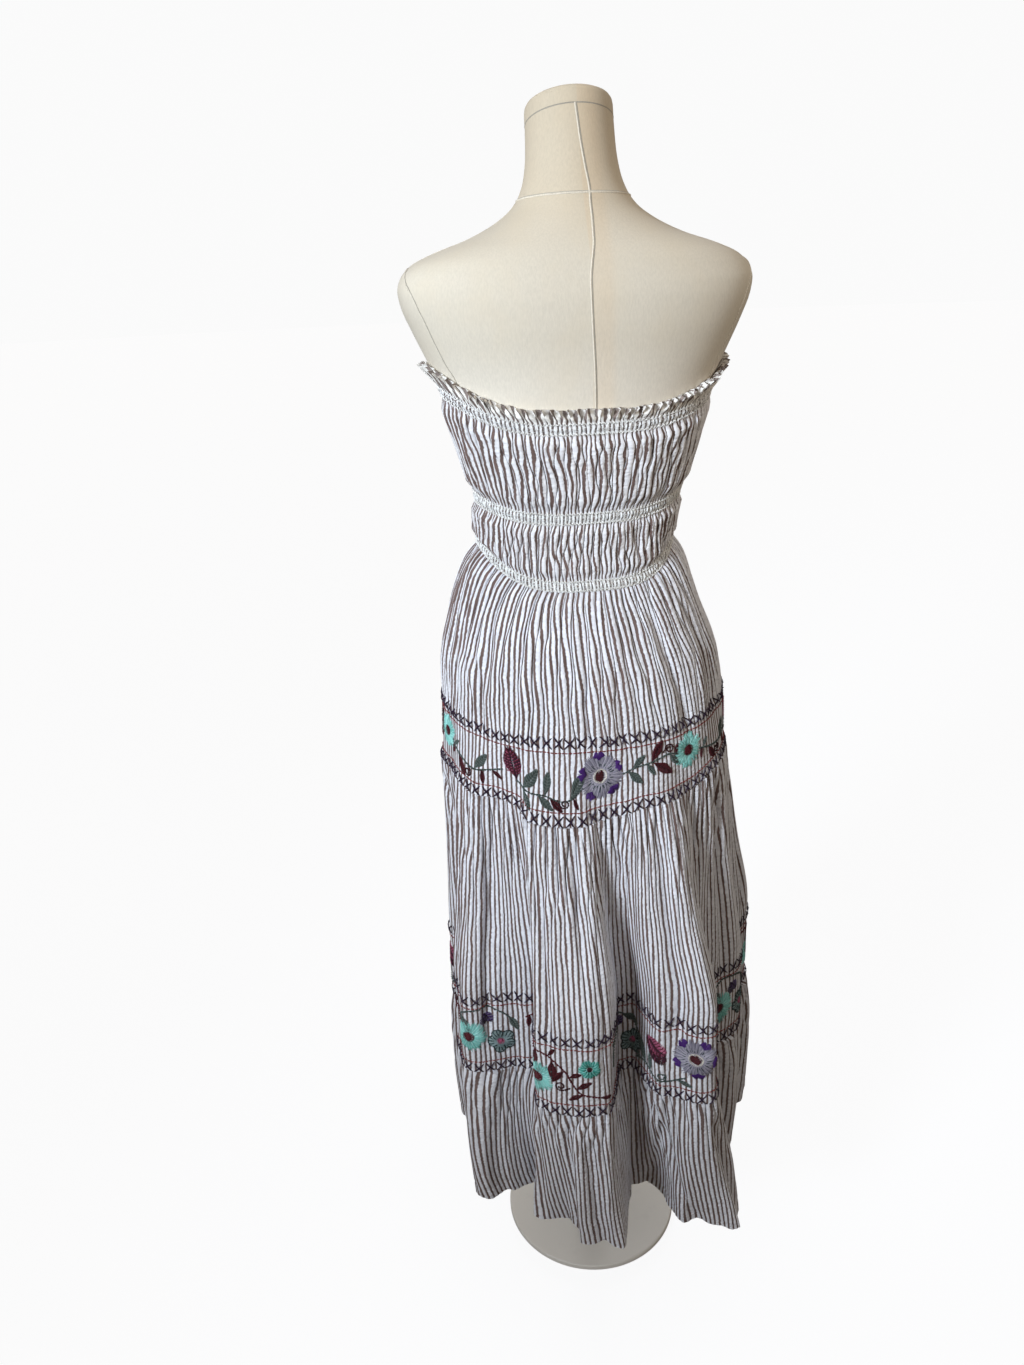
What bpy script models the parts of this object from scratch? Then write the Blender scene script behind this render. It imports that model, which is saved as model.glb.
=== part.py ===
"""Strapless three-tier midi dress standing on a limbless dress form.

Metres, +Z up, the wearer faces -Y.  The origin is the middle of the base's underside.
A turn is the angle round the Z axis: 0 is the front, 90 the wearer's left, 180 the back.
"""

import math

import bmesh
import bpy
import numpy as np

# ---------------------------------------------------------------- driving sizes
SEAM_GAP = 0.0003          # between sewn pieces, and between fixed parts of the stand
CLOTH = 0.002              # wall of puckered or gathered cotton
HUG = 0.0007               # shirring to the form
BODICE_COLUMNS = 36        # columns of facets across half the body
SKIRT_COLUMNS = 48
FORM_COLUMNS = 48          # all round
SIDE_RISE_POWER = 3.2      # how late a sloping seam line climbs towards the side
LEFT_SEAM = 88.0           # turns of the side seams, each on the crest of a fold
RIGHT_SEAM = 266.0

FORM_FOOT = 0.775          # underside of the torso
NECK_BASE = 1.430          # where the neck starts to lean
NECK_LEAN = math.tan(math.radians(12.0))
NECK_TOP_TILT = math.tan(math.radians(14.0))
NECK_TOP = 1.545
CAP_HEIGHT = 0.019

POLE_RADIUS = 0.0125
FLANGE_RADIUS = 0.042
FLANGE_HEIGHT = 0.006
BASE_RADIUS = 0.130
BASE_PLATE = 0.009
BASE_EDGE = 0.0025
HUB_RADIUS = 0.024
HUB_TOP = 0.036
SOCKET_FLOOR = 0.012
STAND_SEGMENTS = 48

# ---------------------------------------------------------------- the dress form
# height, half width, depth behind the axis, depth before it, roundness of the section
FORM_SECTIONS = (
    (FORM_FOOT, 0.148, 0.118, 0.094, 2.2),
    (0.783, 0.157, 0.129, 0.101, 2.2),
    (0.820, 0.164, 0.138, 0.106, 2.2),
    (0.870, 0.165, 0.141, 0.108, 2.2),
    (0.930, 0.157, 0.128, 0.106, 2.2),
    (0.980, 0.145, 0.110, 0.102, 2.2),
    (1.030, 0.129, 0.094, 0.096, 2.2),
    (1.070, 0.1190, 0.085, 0.091, 2.2),
    (1.100, 0.1165, 0.083, 0.090, 2.2),
    (1.135, 0.1190, 0.085, 0.096, 2.2),
    (1.170, 0.1255, 0.089, 0.110, 2.2),
    (1.206, 0.1355, 0.093, 0.124, 2.25),
    (1.241, 0.1460, 0.096, 0.129, 2.3),
    (1.275, 0.1575, 0.099, 0.123, 2.3),
    (1.308, 0.1730, 0.102, 0.111, 2.35),
    (1.341, 0.1880, 0.104, 0.098, 2.4),
    (1.365, 0.1975, 0.103, 0.087, 2.4),
    (1.381, 0.2000, 0.100, 0.079, 2.4),
    (1.395, 0.1955, 0.096, 0.072, 2.35),
    (1.407, 0.1830, 0.092, 0.067, 2.35),
    (1.418, 0.1590, 0.086, 0.061, 2.3),
    (1.431, 0.1200, 0.078, 0.055, 2.2),
    (1.445, 0.0900, 0.071, 0.052, 2.1),
    (1.459, 0.0705, 0.065, 0.051, 2.0),
    (1.473, 0.0600, 0.0605, 0.051, 2.0),
    (1.492, 0.0530, 0.0565, 0.050, 2.0),
    (1.516, 0.0495, 0.0535, 0.0495, 2.0),
    (NECK_TOP, 0.0482, 0.0520, 0.0490, 2.0),
)

# ---------------------------------------------------------------- the bodice
# line, height at the back, at the side, at the front, distance of the cloth from the form
BODICE_LINES = (
    ("ruffle edge", 1.2535, 1.2965, 1.2860, 0.0140),
    ("ruffle middle", 1.2465, 1.2870, 1.2775, 0.0055),
    ("top shirring, upper", 1.2400, 1.2800, 1.2705, HUG),
    ("top shirring, lower", 1.2280, 1.2680, 1.2585, HUG),
    ("upper puff, high", 1.2140, 1.2480, 1.2390, 0.0050),
    ("upper puff, low", 1.1560, 1.1720, 1.1690, 0.0050),
    ("middle shirring, upper", 1.1390, 1.1570, 1.1530, HUG),
    ("middle shirring, lower", 1.1270, 1.1450, 1.1410, HUG),
    ("lower puff, high", 1.1150, 1.1340, 1.1290, 0.0040),
    ("lower puff, low", 1.0730, 1.1080, 1.0950, 0.0040),
    ("waist shirring, upper", 1.0600, 1.0980, 1.0840, HUG),
    ("waist shirring, lower", 1.0480, 1.0860, 1.0720, HUG),
)
WAIST = BODICE_LINES[-1]

# ---------------------------------------------------------------- the skirt
# height at the back, side, front, half width, depth behind, depth before, sideways shift
UPPER_TIER = (
    (1.0340, 1.0640, 1.0530, 0.1430, 0.1010, 0.1050, 0.000),
    (0.9980, 1.0050, 1.0020, 0.1610, 0.1210, 0.1150, 0.000),
    (0.9450, 0.9500, 0.9480, 0.1750, 0.1420, 0.1240, -0.001),
    (0.8860, 0.8980, 0.8900, 0.1800, 0.1570, 0.1310, -0.003),
    (0.7870, 0.7960, 0.7900, 0.1890, 0.1670, 0.1390, -0.006),
)
UPPER_SEAM = UPPER_TIER[-1]
SECTION_POWER = 2.1

# Every large fold of the middle and bottom tiers, crest or trough, round the hem:
# turn and reach from the skirt's own axis at the lower embroidered band, then at the hem
FOLDS = (
    (12.0, 0.170, 12.0, 0.164),
    (28.0, 0.216, 27.0, 0.238),
    (43.0, 0.178, 44.0, 0.174),
    (59.0, 0.220, 60.0, 0.234),
    (73.0, 0.182, 74.0, 0.180),
    (88.0, 0.207, 88.0, 0.214),
    (106.0, 0.184, 107.0, 0.182),
    (118.0, 0.244, 116.0, 0.234),
    (127.0, 0.260, 126.0, 0.262),
    (140.0, 0.214, 133.0, 0.226),
    (146.0, 0.206, 139.0, 0.184),
    (152.5, 0.268, 148.0, 0.240),
    (157.0, 0.272, 156.0, 0.228),
    (163.0, 0.272, 161.5, 0.266),
    (170.0, 0.266, 173.0, 0.270),
    (176.0, 0.190, 180.5, 0.170),
    (181.0, 0.187, 187.5, 0.168),
    (187.0, 0.244, 194.0, 0.246),
    (198.0, 0.277, 206.5, 0.293),
    (212.0, 0.200, 217.0, 0.190),
    (228.0, 0.210, 232.0, 0.200),
    (246.0, 0.188, 247.0, 0.182),
    (266.0, 0.210, 267.0, 0.220),
    (281.0, 0.182, 280.0, 0.178),
    (296.0, 0.220, 297.0, 0.234),
    (311.0, 0.180, 312.0, 0.172),
    (327.0, 0.216, 326.0, 0.236),
    (341.0, 0.172, 342.0, 0.162),
    (356.0, 0.210, 357.0, 0.230),
)
SEAM_FOLD = 0.12           # share of the folds' depth already there at the upper seam
LOWER_BAND_TOP = 0.549     # the folds have their full reach from here down
LOWER_SEAM = 0.433
HEM = 0.208
BAND_SHIFT = -0.025        # the skirt hangs a little towards the wearer's right
HEM_SHIFT = -0.029
BELLY = 0.006              # the bottom tier stands out under its gathered seam
MIDDLE_TIER_HEIGHTS = (0.745, 0.660, LOWER_BAND_TOP, LOWER_SEAM)
BOTTOM_TIER_HEIGHTS = ((0.396, 0.8), (0.320, 1.0), (HEM, 0.0))

PATH_STEPS = 1440          # points in a worked-out outline
SHARP_ANGLE = math.radians(40.0)


def clear_scene():
    for item in list(bpy.data.objects):
        bpy.data.objects.remove(item, do_unlink=True)


def material(name, colour, roughness, metallic=0.0):
    made = bpy.data.materials.new(name)
    made.use_nodes = True
    shader = made.node_tree.nodes["Principled BSDF"]
    shader.inputs["Base Color"].default_value = (*colour, 1.0)
    shader.inputs["Roughness"].default_value = roughness
    shader.inputs["Metallic"].default_value = metallic
    made.diffuse_color = (*colour, 1.0)
    return made


def solid(name, mesh_builder, finish):
    """Turn a bmesh into a named object with its own material."""
    mesh = bpy.data.meshes.new(name)
    mesh_builder.to_mesh(mesh)
    mesh_builder.free()
    mesh.shade_smooth()
    mesh.set_sharp_from_angle(angle=SHARP_ANGLE)
    made = bpy.data.objects.new(name, mesh)
    made.data.materials.append(finish)
    bpy.context.scene.collection.objects.link(made)


# ---------------------------------------------------------------- shapes
def section_at(height):
    """Half width, back depth, front depth and roundness of the form at a height."""
    table = np.array(FORM_SECTIONS)
    return [np.interp(height, table[:, 0], table[:, column]) for column in range(1, 5)]


def oval(turns, half_width, back, front, power):
    """Points of a rounded section; its back and front halves have their own depths."""
    across = np.sin(turns)
    along = np.cos(turns)
    depth = np.where(along > 0.0, front, back)
    x = half_width * np.sign(across) * np.abs(across) ** (2.0 / power)
    y = -depth * np.sign(along) * np.abs(along) ** (2.0 / power)
    return np.stack([x, y], axis=-1)


def outward(points):
    """Outward normals of a closed outline that runs by rising turn."""
    tangent = np.roll(points, -1, axis=0) - np.roll(points, 1, axis=0)
    normal = np.stack([-tangent[:, 1], tangent[:, 0]], axis=-1)
    normal /= np.linalg.norm(normal, axis=1)[:, None]
    return -normal


def sloping(turns, back, side, front):
    """Height of a seam line that lies higher at the sides than at back and front."""
    climb = np.abs(np.sin(turns)) ** SIDE_RISE_POWER
    middle = np.where(np.cos(turns) > 0.0, front, back)
    return middle + (side - middle) * climb


def path_turns():
    return np.linspace(0.0, 2.0 * math.pi, PATH_STEPS, endpoint=False)


def outline(points, heights):
    """An outline of the cloth's outer face: x, y, height and outward direction, all round."""
    return np.column_stack([points, heights, outward(points)])


def bodice_path(line):
    """Outer face of the cloth along one line of the bodice, all round."""
    _, back, side, front, distance = line
    turns = path_turns()
    heights = sloping(turns, back, side, front)
    half_width, back_depth, front_depth, power = section_at(heights)
    points = oval(turns, half_width, back_depth, front_depth, power)
    points += outward(points) * (distance + CLOTH)
    return outline(points, heights)


def upper_tier_path(row):
    back, side, front, half_width, back_depth, front_depth, shift = row
    turns = path_turns()
    points = oval(turns, half_width, back_depth, front_depth, SECTION_POWER)
    points[:, 0] += shift
    return outline(points, sloping(turns, back, side, front))


def fold_reach(turns, angle_column):
    """Reach of the folded cloth at each turn, eased from each fold line to the next."""
    table = np.array(FOLDS)
    angles = np.radians(table[:, angle_column])
    reaches = table[:, angle_column + 1]
    angles = np.concatenate([angles[-1:] - 2.0 * math.pi, angles, angles[:1] + 2.0 * math.pi])
    reaches = np.concatenate([reaches[-1:], reaches, reaches[:1]])
    place = np.clip(np.searchsorted(angles, turns, side="right") - 1, 0, len(angles) - 2)
    share = (turns - angles[place]) / (angles[place + 1] - angles[place])
    eased = 0.5 - 0.5 * np.cos(math.pi * share)
    return reaches[place] + (reaches[place + 1] - reaches[place]) * eased


def polar(turns, reach):
    return np.stack([reach * np.sin(turns), -reach * np.cos(turns)], axis=-1)


def folded_path(height, belly=0.0):
    """Outer face of the middle or bottom tier at one height."""
    turns = path_turns()
    band = polar(turns, fold_reach(turns, 0) + belly * BELLY)
    band[:, 0] += BAND_SHIFT
    if height < LOWER_SEAM:
        hem = polar(turns, fold_reach(turns, 2) + belly * BELLY)
        hem[:, 0] += HEM_SHIFT
        share = (LOWER_SEAM - height) / (LOWER_SEAM - HEM)
        points = band + (hem - band) * share
        return outline(points, np.full(PATH_STEPS, height))
    seam = upper_seam_path()
    share = min(1.0, (UPPER_SEAM[0] - height) / (UPPER_SEAM[0] - LOWER_BAND_TOP))
    points = seam[:, :2] + (band - seam[:, :2]) * share
    heights = seam[:, 2] + (height - UPPER_SEAM[0])
    heights = heights + (height - heights) * share
    return outline(points, heights)


def upper_seam_path():
    """The seam of the upper and middle tiers, where the folds begin."""
    path = upper_tier_path(UPPER_SEAM)
    reach = fold_reach(path_turns(), 0)
    swing = (reach - reach.mean()) * SEAM_FOLD
    return outline(path[:, :2] + path[:, 3:] * swing[:, None], path[:, 2])


def lowered(path, drop):
    moved = path.copy()
    moved[:, 2] -= drop
    return moved


def outline_run(path):
    """Length of the outline up to each point, and back to the first one."""
    closed = np.vstack([path, path[:1]])
    steps = np.linalg.norm(np.diff(closed[:, :2], axis=0), axis=1)
    return closed, np.concatenate([[0.0], np.cumsum(steps)])


def wall_points(path, first_turn, last_turn, columns):
    """Outer and inner points of one piece's outline, evenly spaced from seam to seam."""
    closed, run = outline_run(path)
    closed = np.vstack([closed[:-1], closed])
    run = np.concatenate([run[:-1], run + run[-1]])
    turns = np.linspace(0.0, 720.0, len(run))
    first, last = np.interp((first_turn, last_turn), turns, run)
    places = np.linspace(first + 0.5 * SEAM_GAP, last - 0.5 * SEAM_GAP, columns + 1)
    outer = np.stack([np.interp(places, run, column) for column in closed.T], axis=-1)
    inward = -outer[:, 3:] / np.linalg.norm(outer[:, 3:], axis=1)[:, None]
    inner = outer[:, :3].copy()
    inner[:, :2] += inward * CLOTH
    return outer[:, :3], inner


# ---------------------------------------------------------------- solids
def loft_sides(made, rings):
    """Faces between closed rings of vertices, from the lowest to the highest."""
    count = len(rings[0])
    for lower, upper in zip(rings, rings[1:]):
        for place in range(count):
            after = (place + 1) % count
            made.faces.new((lower[place], lower[after], upper[after], upper[place]))


def cloth_piece(name, paths, first_turn, last_turn, columns, finish):
    """A sewn piece: a wall along part of each outline, from one side seam to the other."""
    made = bmesh.new()
    rings = []
    for path in reversed(paths):
        outer, inner = wall_points(path, first_turn, last_turn, columns)
        rings.append([made.verts.new(point) for point in (*outer, *inner[::-1])])
    loft_sides(made, rings)
    bottom, top = rings[0], rings[-1]
    for column in range(columns):
        made.faces.new((top[column], top[column + 1], top[-2 - column], top[-1 - column]))
        made.faces.new((bottom[-1 - column], bottom[-2 - column], bottom[column + 1],
                        bottom[column]))
    solid(name, made, finish)


def cloth_pair(name, paths, columns, back_finish, front_finish):
    """The back and the front of one level of the dress, joined by side seams."""
    cloth_piece(name + "_back", paths, LEFT_SEAM, RIGHT_SEAM, columns, back_finish)
    cloth_piece(name + "_front", paths, RIGHT_SEAM, LEFT_SEAM + 360.0, columns, front_finish)


def dress():
    bodice_back = material("bodice_back_cotton", (0.80, 0.79, 0.78), 0.85)
    bodice_front = material("bodice_front_cotton", (0.78, 0.77, 0.76), 0.85)
    cloth_pair("bodice", [bodice_path(line) for line in BODICE_LINES], BODICE_COLUMNS,
               bodice_back, bodice_front)

    upper_back = material("upper_tier_back_cotton", (0.77, 0.76, 0.76), 0.85)
    upper_front = material("upper_tier_front_cotton", (0.76, 0.75, 0.75), 0.85)
    rows = [lowered(bodice_path(WAIST), SEAM_GAP)]
    rows += [upper_tier_path(row) for row in UPPER_TIER[:-1]]
    rows += [upper_seam_path()]
    cloth_pair("upper_tier", rows, SKIRT_COLUMNS, upper_back, upper_front)

    middle_back = material("middle_tier_back_cotton", (0.75, 0.74, 0.74), 0.85)
    middle_front = material("middle_tier_front_cotton", (0.74, 0.73, 0.73), 0.85)
    rows = [lowered(upper_seam_path(), SEAM_GAP)]
    rows += [folded_path(height) for height in MIDDLE_TIER_HEIGHTS]
    cloth_pair("middle_tier", rows, SKIRT_COLUMNS, middle_back, middle_front)

    bottom_back = material("bottom_tier_back_cotton", (0.73, 0.72, 0.71), 0.85)
    bottom_front = material("bottom_tier_front_cotton", (0.72, 0.71, 0.70), 0.85)
    rows = [lowered(folded_path(LOWER_SEAM), SEAM_GAP)]
    rows += [folded_path(height, belly) for height, belly in BOTTOM_TIER_HEIGHTS]
    cloth_pair("bottom_tier", rows, SKIRT_COLUMNS, bottom_back, bottom_front)


def neck_place(height):
    """How far the neck has leaned forward at a height, and the slope of its section."""
    rise = max(0.0, height - NECK_BASE)
    return -NECK_LEAN * rise, NECK_TOP_TILT * rise / (NECK_TOP - NECK_BASE)


def form_ring(height, scale=1.0, lift=0.0):
    """One section of the form; those of the neck lean forward and dip at the throat."""
    turns = np.linspace(0.0, 2.0 * math.pi, FORM_COLUMNS, endpoint=False)
    points = oval(turns, *section_at(height)) * scale
    lean, slope = neck_place(height)
    heights = height + lift + slope * points[:, 1]
    return np.column_stack([points[:, 0], points[:, 1] + lean - NECK_LEAN * lift, heights])


def lofted(rings):
    """A closed solid through rings of equal count, from the lowest to the highest."""
    made = bmesh.new()
    rings = [[made.verts.new(point) for point in ring] for ring in rings]
    loft_sides(made, rings)
    made.faces.new(list(reversed(rings[0])))
    made.faces.new(rings[-1])
    return made


def dress_form():
    jersey = material("cream_jersey", (0.78, 0.74, 0.65), 0.9)
    rings = [form_ring(row[0]) for row in FORM_SECTIONS]
    solid("form_torso", lofted(rings), jersey)

    cap_jersey = material("cap_jersey", (0.76, 0.71, 0.62), 0.9)
    # share of the neck's width, height over the neck's top
    profile = ((1.0, SEAM_GAP), (0.995, 0.6 * CAP_HEIGHT), (0.955, 0.88 * CAP_HEIGHT),
               (0.87, CAP_HEIGHT), (0.50, 1.08 * CAP_HEIGHT))
    rings = [form_ring(NECK_TOP, scale, lift) for scale, lift in profile]
    solid("neck_cap", lofted(rings), cap_jersey)


def turned(profile):
    """A solid turned round the Z axis from (radius, height) points, lowest first."""
    turns = np.linspace(0.0, 2.0 * math.pi, STAND_SEGMENTS, endpoint=False)
    rings = []
    for radius, height in profile:
        rings.append(np.column_stack([polar(turns, radius), np.full(STAND_SEGMENTS, height)]))
    return lofted(rings)


def stand():
    steel = material("brushed_steel_pole", (0.62, 0.62, 0.61), 0.35, 1.0)
    flange_foot = FORM_FOOT - SEAM_GAP - FLANGE_HEIGHT
    pole = (
        (POLE_RADIUS, SOCKET_FLOOR + SEAM_GAP),
        (POLE_RADIUS, flange_foot),
        (FLANGE_RADIUS, flange_foot),
        (FLANGE_RADIUS, FORM_FOOT - SEAM_GAP),
    )
    solid("pole", turned(pole), steel)

    paint = material("cream_painted_base", (0.80, 0.78, 0.74), 0.45)
    socket_radius = POLE_RADIUS + SEAM_GAP
    base = (
        (BASE_RADIUS - BASE_EDGE, 0.0),
        (BASE_RADIUS, BASE_EDGE),
        (BASE_RADIUS, BASE_PLATE - BASE_EDGE),
        (BASE_RADIUS - BASE_EDGE, BASE_PLATE),
        (HUB_RADIUS, BASE_PLATE),
        (HUB_RADIUS, HUB_TOP - BASE_EDGE),
        (HUB_RADIUS - BASE_EDGE, HUB_TOP),
        (socket_radius, HUB_TOP),
        (socket_radius, SOCKET_FLOOR),
    )
    solid("base", turned(base), paint)


def main():
    clear_scene()
    dress()
    dress_form()
    stand()


main()
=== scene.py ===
"""Striped cotton midi dress on its limbless dress form: cloth, stitching, finishes and light.

Metres, +Z up, the wearer faces -Y.  A turn is the angle round the Z axis: 0 is the front,
90 the wearer's left, 180 the back.  On the cloth, "along" runs round the body and "down"
runs from a piece's upper edge to its lower one, both as the cloth was cut flat.
"""

import functools
import math

import bpy
import numpy as np
from bpy.props import FloatProperty, FloatVectorProperty, PointerProperty
from mathutils import Matrix, Vector


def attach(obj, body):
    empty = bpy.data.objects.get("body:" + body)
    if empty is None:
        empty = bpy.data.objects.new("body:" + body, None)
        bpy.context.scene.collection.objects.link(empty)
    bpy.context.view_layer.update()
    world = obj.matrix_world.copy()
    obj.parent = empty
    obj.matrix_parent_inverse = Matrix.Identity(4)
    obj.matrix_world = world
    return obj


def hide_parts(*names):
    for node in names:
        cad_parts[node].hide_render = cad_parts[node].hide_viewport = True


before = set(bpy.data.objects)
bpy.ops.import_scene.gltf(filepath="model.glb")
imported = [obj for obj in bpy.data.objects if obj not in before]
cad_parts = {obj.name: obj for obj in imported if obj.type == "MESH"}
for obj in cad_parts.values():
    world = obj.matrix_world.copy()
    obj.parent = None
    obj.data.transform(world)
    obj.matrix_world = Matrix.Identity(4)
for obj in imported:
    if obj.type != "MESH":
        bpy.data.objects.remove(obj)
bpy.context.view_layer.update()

bl_info = {
    "name": "Three-tier midi dress",
    "version": (1, 0, 0),
    "blender": (4, 5, 0),
    "location": "3D Viewport > Sidebar > Midi dress",
    "description": "Makes the striped, shirred and embroidered dress on its dress form",
    "category": "Object",
}

# ---------------------------------------------------------------- sizes shared with the solids
CLOTH = 0.002              # wall of the solid cloth
HUG = 0.0007               # shirring to the form
SEAM_GAP = 0.0003          # between one cut piece and the next
SIDE_RISE_POWER = 3.2      # how suddenly a seam line climbs to the sides
SEAM_TURNS = (88.0, 266.0)  # side seams: wearer's left, wearer's right
FORM_FOOT = 0.775
NECK_BASE = 1.430
NECK_LEAN = math.tan(math.radians(12.0))
NECK_TOP_TILT = math.tan(math.radians(14.0))
NECK_TOP = 1.545
CAP_HEIGHT = 0.019
WAIST_SWAY = (0.0066, 1.095, 0.050)  # how far the waist stands aside, its height, spread

# height, half width, depth behind the axis, depth before it, roundness of the section
FORM_SECTIONS = (
    (FORM_FOOT, 0.148, 0.118, 0.094, 2.2), (0.783, 0.157, 0.129, 0.101, 2.2),
    (0.820, 0.164, 0.138, 0.106, 2.2), (0.870, 0.165, 0.141, 0.108, 2.2),
    (0.930, 0.157, 0.128, 0.106, 2.2), (0.980, 0.145, 0.110, 0.102, 2.2),
    (1.030, 0.129, 0.094, 0.096, 2.2), (1.070, 0.1190, 0.085, 0.091, 2.2),
    (1.100, 0.1165, 0.083, 0.090, 2.2), (1.135, 0.1190, 0.085, 0.096, 2.2),
    (1.170, 0.1255, 0.089, 0.110, 2.2), (1.206, 0.1355, 0.093, 0.124, 2.25),
    (1.241, 0.1460, 0.096, 0.129, 2.3), (1.275, 0.1575, 0.099, 0.123, 2.3),
    (1.308, 0.1730, 0.102, 0.111, 2.35), (1.341, 0.1880, 0.104, 0.098, 2.4),
    (1.365, 0.1975, 0.103, 0.087, 2.4), (1.381, 0.2000, 0.100, 0.079, 2.4),
    (1.395, 0.1955, 0.096, 0.072, 2.35), (1.407, 0.1830, 0.092, 0.067, 2.35),
    (1.418, 0.1590, 0.086, 0.061, 2.3), (1.431, 0.1200, 0.078, 0.055, 2.2),
    (1.445, 0.0900, 0.071, 0.052, 2.1), (1.459, 0.0705, 0.065, 0.051, 2.0),
    (1.473, 0.0600, 0.0605, 0.051, 2.0), (1.492, 0.0530, 0.0565, 0.050, 2.0),
    (1.516, 0.0495, 0.0535, 0.0495, 2.0), (NECK_TOP, 0.0482, 0.0520, 0.0490, 2.0),
)

# How the top edge has slipped down under the right arm: how far, at which turn, over how wide
# a turn, from which height up, and how much higher the slip is full
RIGHT_SLIP = (0.012, 252.0, 0.42, 1.17, 0.08)
# line, height at the back, at the side, at the front, distance from the form
BODICE_LINES = (
    ("ruffle edge", 1.2545, 1.3010, 1.2870, 0.0115),
    ("ruffle middle", 1.2470, 1.2900, 1.2780, 0.0055),
    ("top shirring, upper", 1.2400, 1.2800, 1.2705, HUG),
    ("top shirring, lower", 1.2280, 1.2680, 1.2585, HUG),
    ("upper puff, high", 1.2140, 1.2480, 1.2390, 0.0050),
    ("upper puff, low", 1.1560, 1.1720, 1.1690, 0.0050),
    ("middle shirring, upper", 1.1390, 1.1570, 1.1530, HUG),
    ("middle shirring, lower", 1.1270, 1.1450, 1.1410, HUG),
    ("lower puff, high", 1.1150, 1.1340, 1.1290, 0.0040),
    ("lower puff, low", 1.0730, 1.1080, 1.0950, 0.0040),
    ("waist shirring, upper", 1.0600, 1.1040, 1.0840, HUG),
    ("waist shirring, lower", 1.0480, 1.0920, 1.0720, HUG),
)
SHIRRED = (2, 6, 10)       # lines where the three shirred bands begin; each ends on the next

# height at the back, side, front, half width, depth behind, depth before, sideways shift
UPPER_TIER = (
    (1.0340, 1.0700, 1.0530, 0.1345, 0.0995, 0.1050, 0.008),
    (0.9980, 1.0110, 1.0020, 0.1555, 0.1195, 0.1150, 0.008),
    (0.9450, 0.9500, 0.9480, 0.1745, 0.1420, 0.1240, 0.004),
    (0.8860, 0.8980, 0.8900, 0.1795, 0.1570, 0.1310, 0.001),
    (0.7870, 0.7960, 0.7900, 0.1885, 0.1670, 0.1390, -0.003),
)
UPPER_SEAM = UPPER_TIER[-1]
SECTION_POWER = 2.1

# Every large fold of the middle and bottom tiers, crest or trough, round the hem:
# turn and reach from the skirt's own axis at the lower embroidered band, then at the hem
FOLDS = (
    (12, 0.170, 12, 0.164), (28, 0.216, 27, 0.238), (43, 0.178, 44, 0.174),
    (59, 0.220, 60, 0.234), (73, 0.182, 74, 0.180), (88, 0.207, 88, 0.214),
    (106, 0.184, 107, 0.182), (118, 0.244, 116, 0.234), (127, 0.260, 126, 0.262),
    (140, 0.214, 133, 0.226), (146, 0.206, 139, 0.184), (152.5, 0.268, 148, 0.240),
    (157, 0.272, 156, 0.228), (163, 0.272, 161.5, 0.266), (170, 0.266, 173, 0.270),
    (176, 0.190, 180.5, 0.170), (181, 0.187, 187.5, 0.168), (187, 0.244, 194, 0.246),
    (198, 0.277, 206.5, 0.293), (212, 0.200, 217, 0.190), (228, 0.210, 232, 0.200),
    (246, 0.188, 247, 0.182), (266, 0.210, 267, 0.220), (281, 0.182, 280, 0.178),
    (296, 0.220, 297, 0.234), (311, 0.180, 312, 0.172), (327, 0.216, 326, 0.236),
    (341, 0.172, 342, 0.162), (356, 0.210, 357, 0.230),
)
AT_BAND, AT_HEM = 0, 2      # where the turns of the band and of the hem stand in FOLDS
SEAM_FOLD = 0.12           # share of the folds that already shows at the seam above them
# Where the worn cloth swings out under the arms: turn, how far, over how wide a turn
SIDE_SWINGS = {AT_BAND: ((88.0, 0.0085, 8.0),),
               AT_HEM: ((88.0, 0.0085, 8.0), (267.0, -0.0085, 10.0))}
# How the seam of the upper and middle tiers rises and swings out: turn, up, out
SEAM_WAVE = (
    (-4, 0.002, 0.000), (28, 0.009, 0.003), (60, 0.004, -0.002), (88, 0.014, 0.000),
    (112, 0.021, 0.000), (126, 0.016, 0.000), (136, 0.018, -0.003), (146, 0.015, 0.001),
    (153, 0.003, 0.006), (167, 0.000, 0.006), (180, 0.004, 0.002), (192, 0.014, -0.001),
    (211, 0.018, 0.001), (226, 0.028, -0.001), (240, 0.032, -0.003),
    (258, 0.020, -0.007), (284, 0.004, -0.003), (306, 0.009, -0.002),
    (332, 0.003, 0.003), (356, 0.002, 0.000),
)
LOWER_BAND_TOP = 0.549
LOWER_SEAM = 0.433
HEM = 0.208
HEM_LIFT = (281.0, 0.020, 0.120)  # turn where the worn hem is raised, how far, how wide
BAND_SHIFT = -0.021        # how far the folds stand aside at the embroidered band
HEM_SHIFT = -0.027         # the same at the hem
BELLY = 0.006              # how far the bottom tier swells out between its seam and its hem
MIDDLE_TIER_HEIGHTS = (0.745, 0.660, LOWER_BAND_TOP, LOWER_SEAM)
BOTTOM_TIER_HEIGHTS = ((0.396, 0.8), (0.320, 1.0), (HEM, 0.0))  # height, share of the belly

# ---------------------------------------------------------------- the fine surface
OUTLINE_STEPS = 2880       # points in a worked-out outline
INNER_STEP = 4             # fine columns and rows to one of the plain inner face
WALL = 0.0006              # thickness of the cotton
BODICE_COLUMNS = 520       # fine columns across half of the body
UPPER_COLUMNS = 480
LOWER_COLUMNS = 600
SHARP_ANGLE = math.radians(50.0)
PIN_CLEARANCE = 5.0        # least turn between a side seam and a pinned fold
SEAM_EASE = 0.012          # distance from a side seam at which the cloth wanders freely
SEAM_DIP = (0.0010, 0.0022)  # how deep and how wide a side seam sinks in
CREASE_START = (0.14, 0.02)  # how far before and after its start a crease comes up
CREASE_END = 0.22          # how far before its end a crease dies away
RIB_LEVEL = 0.62           # height of a rib that lies level with the cloth, as a share
THREAD_SIDES = 3
THREAD_LIFT = 0.0006

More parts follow.
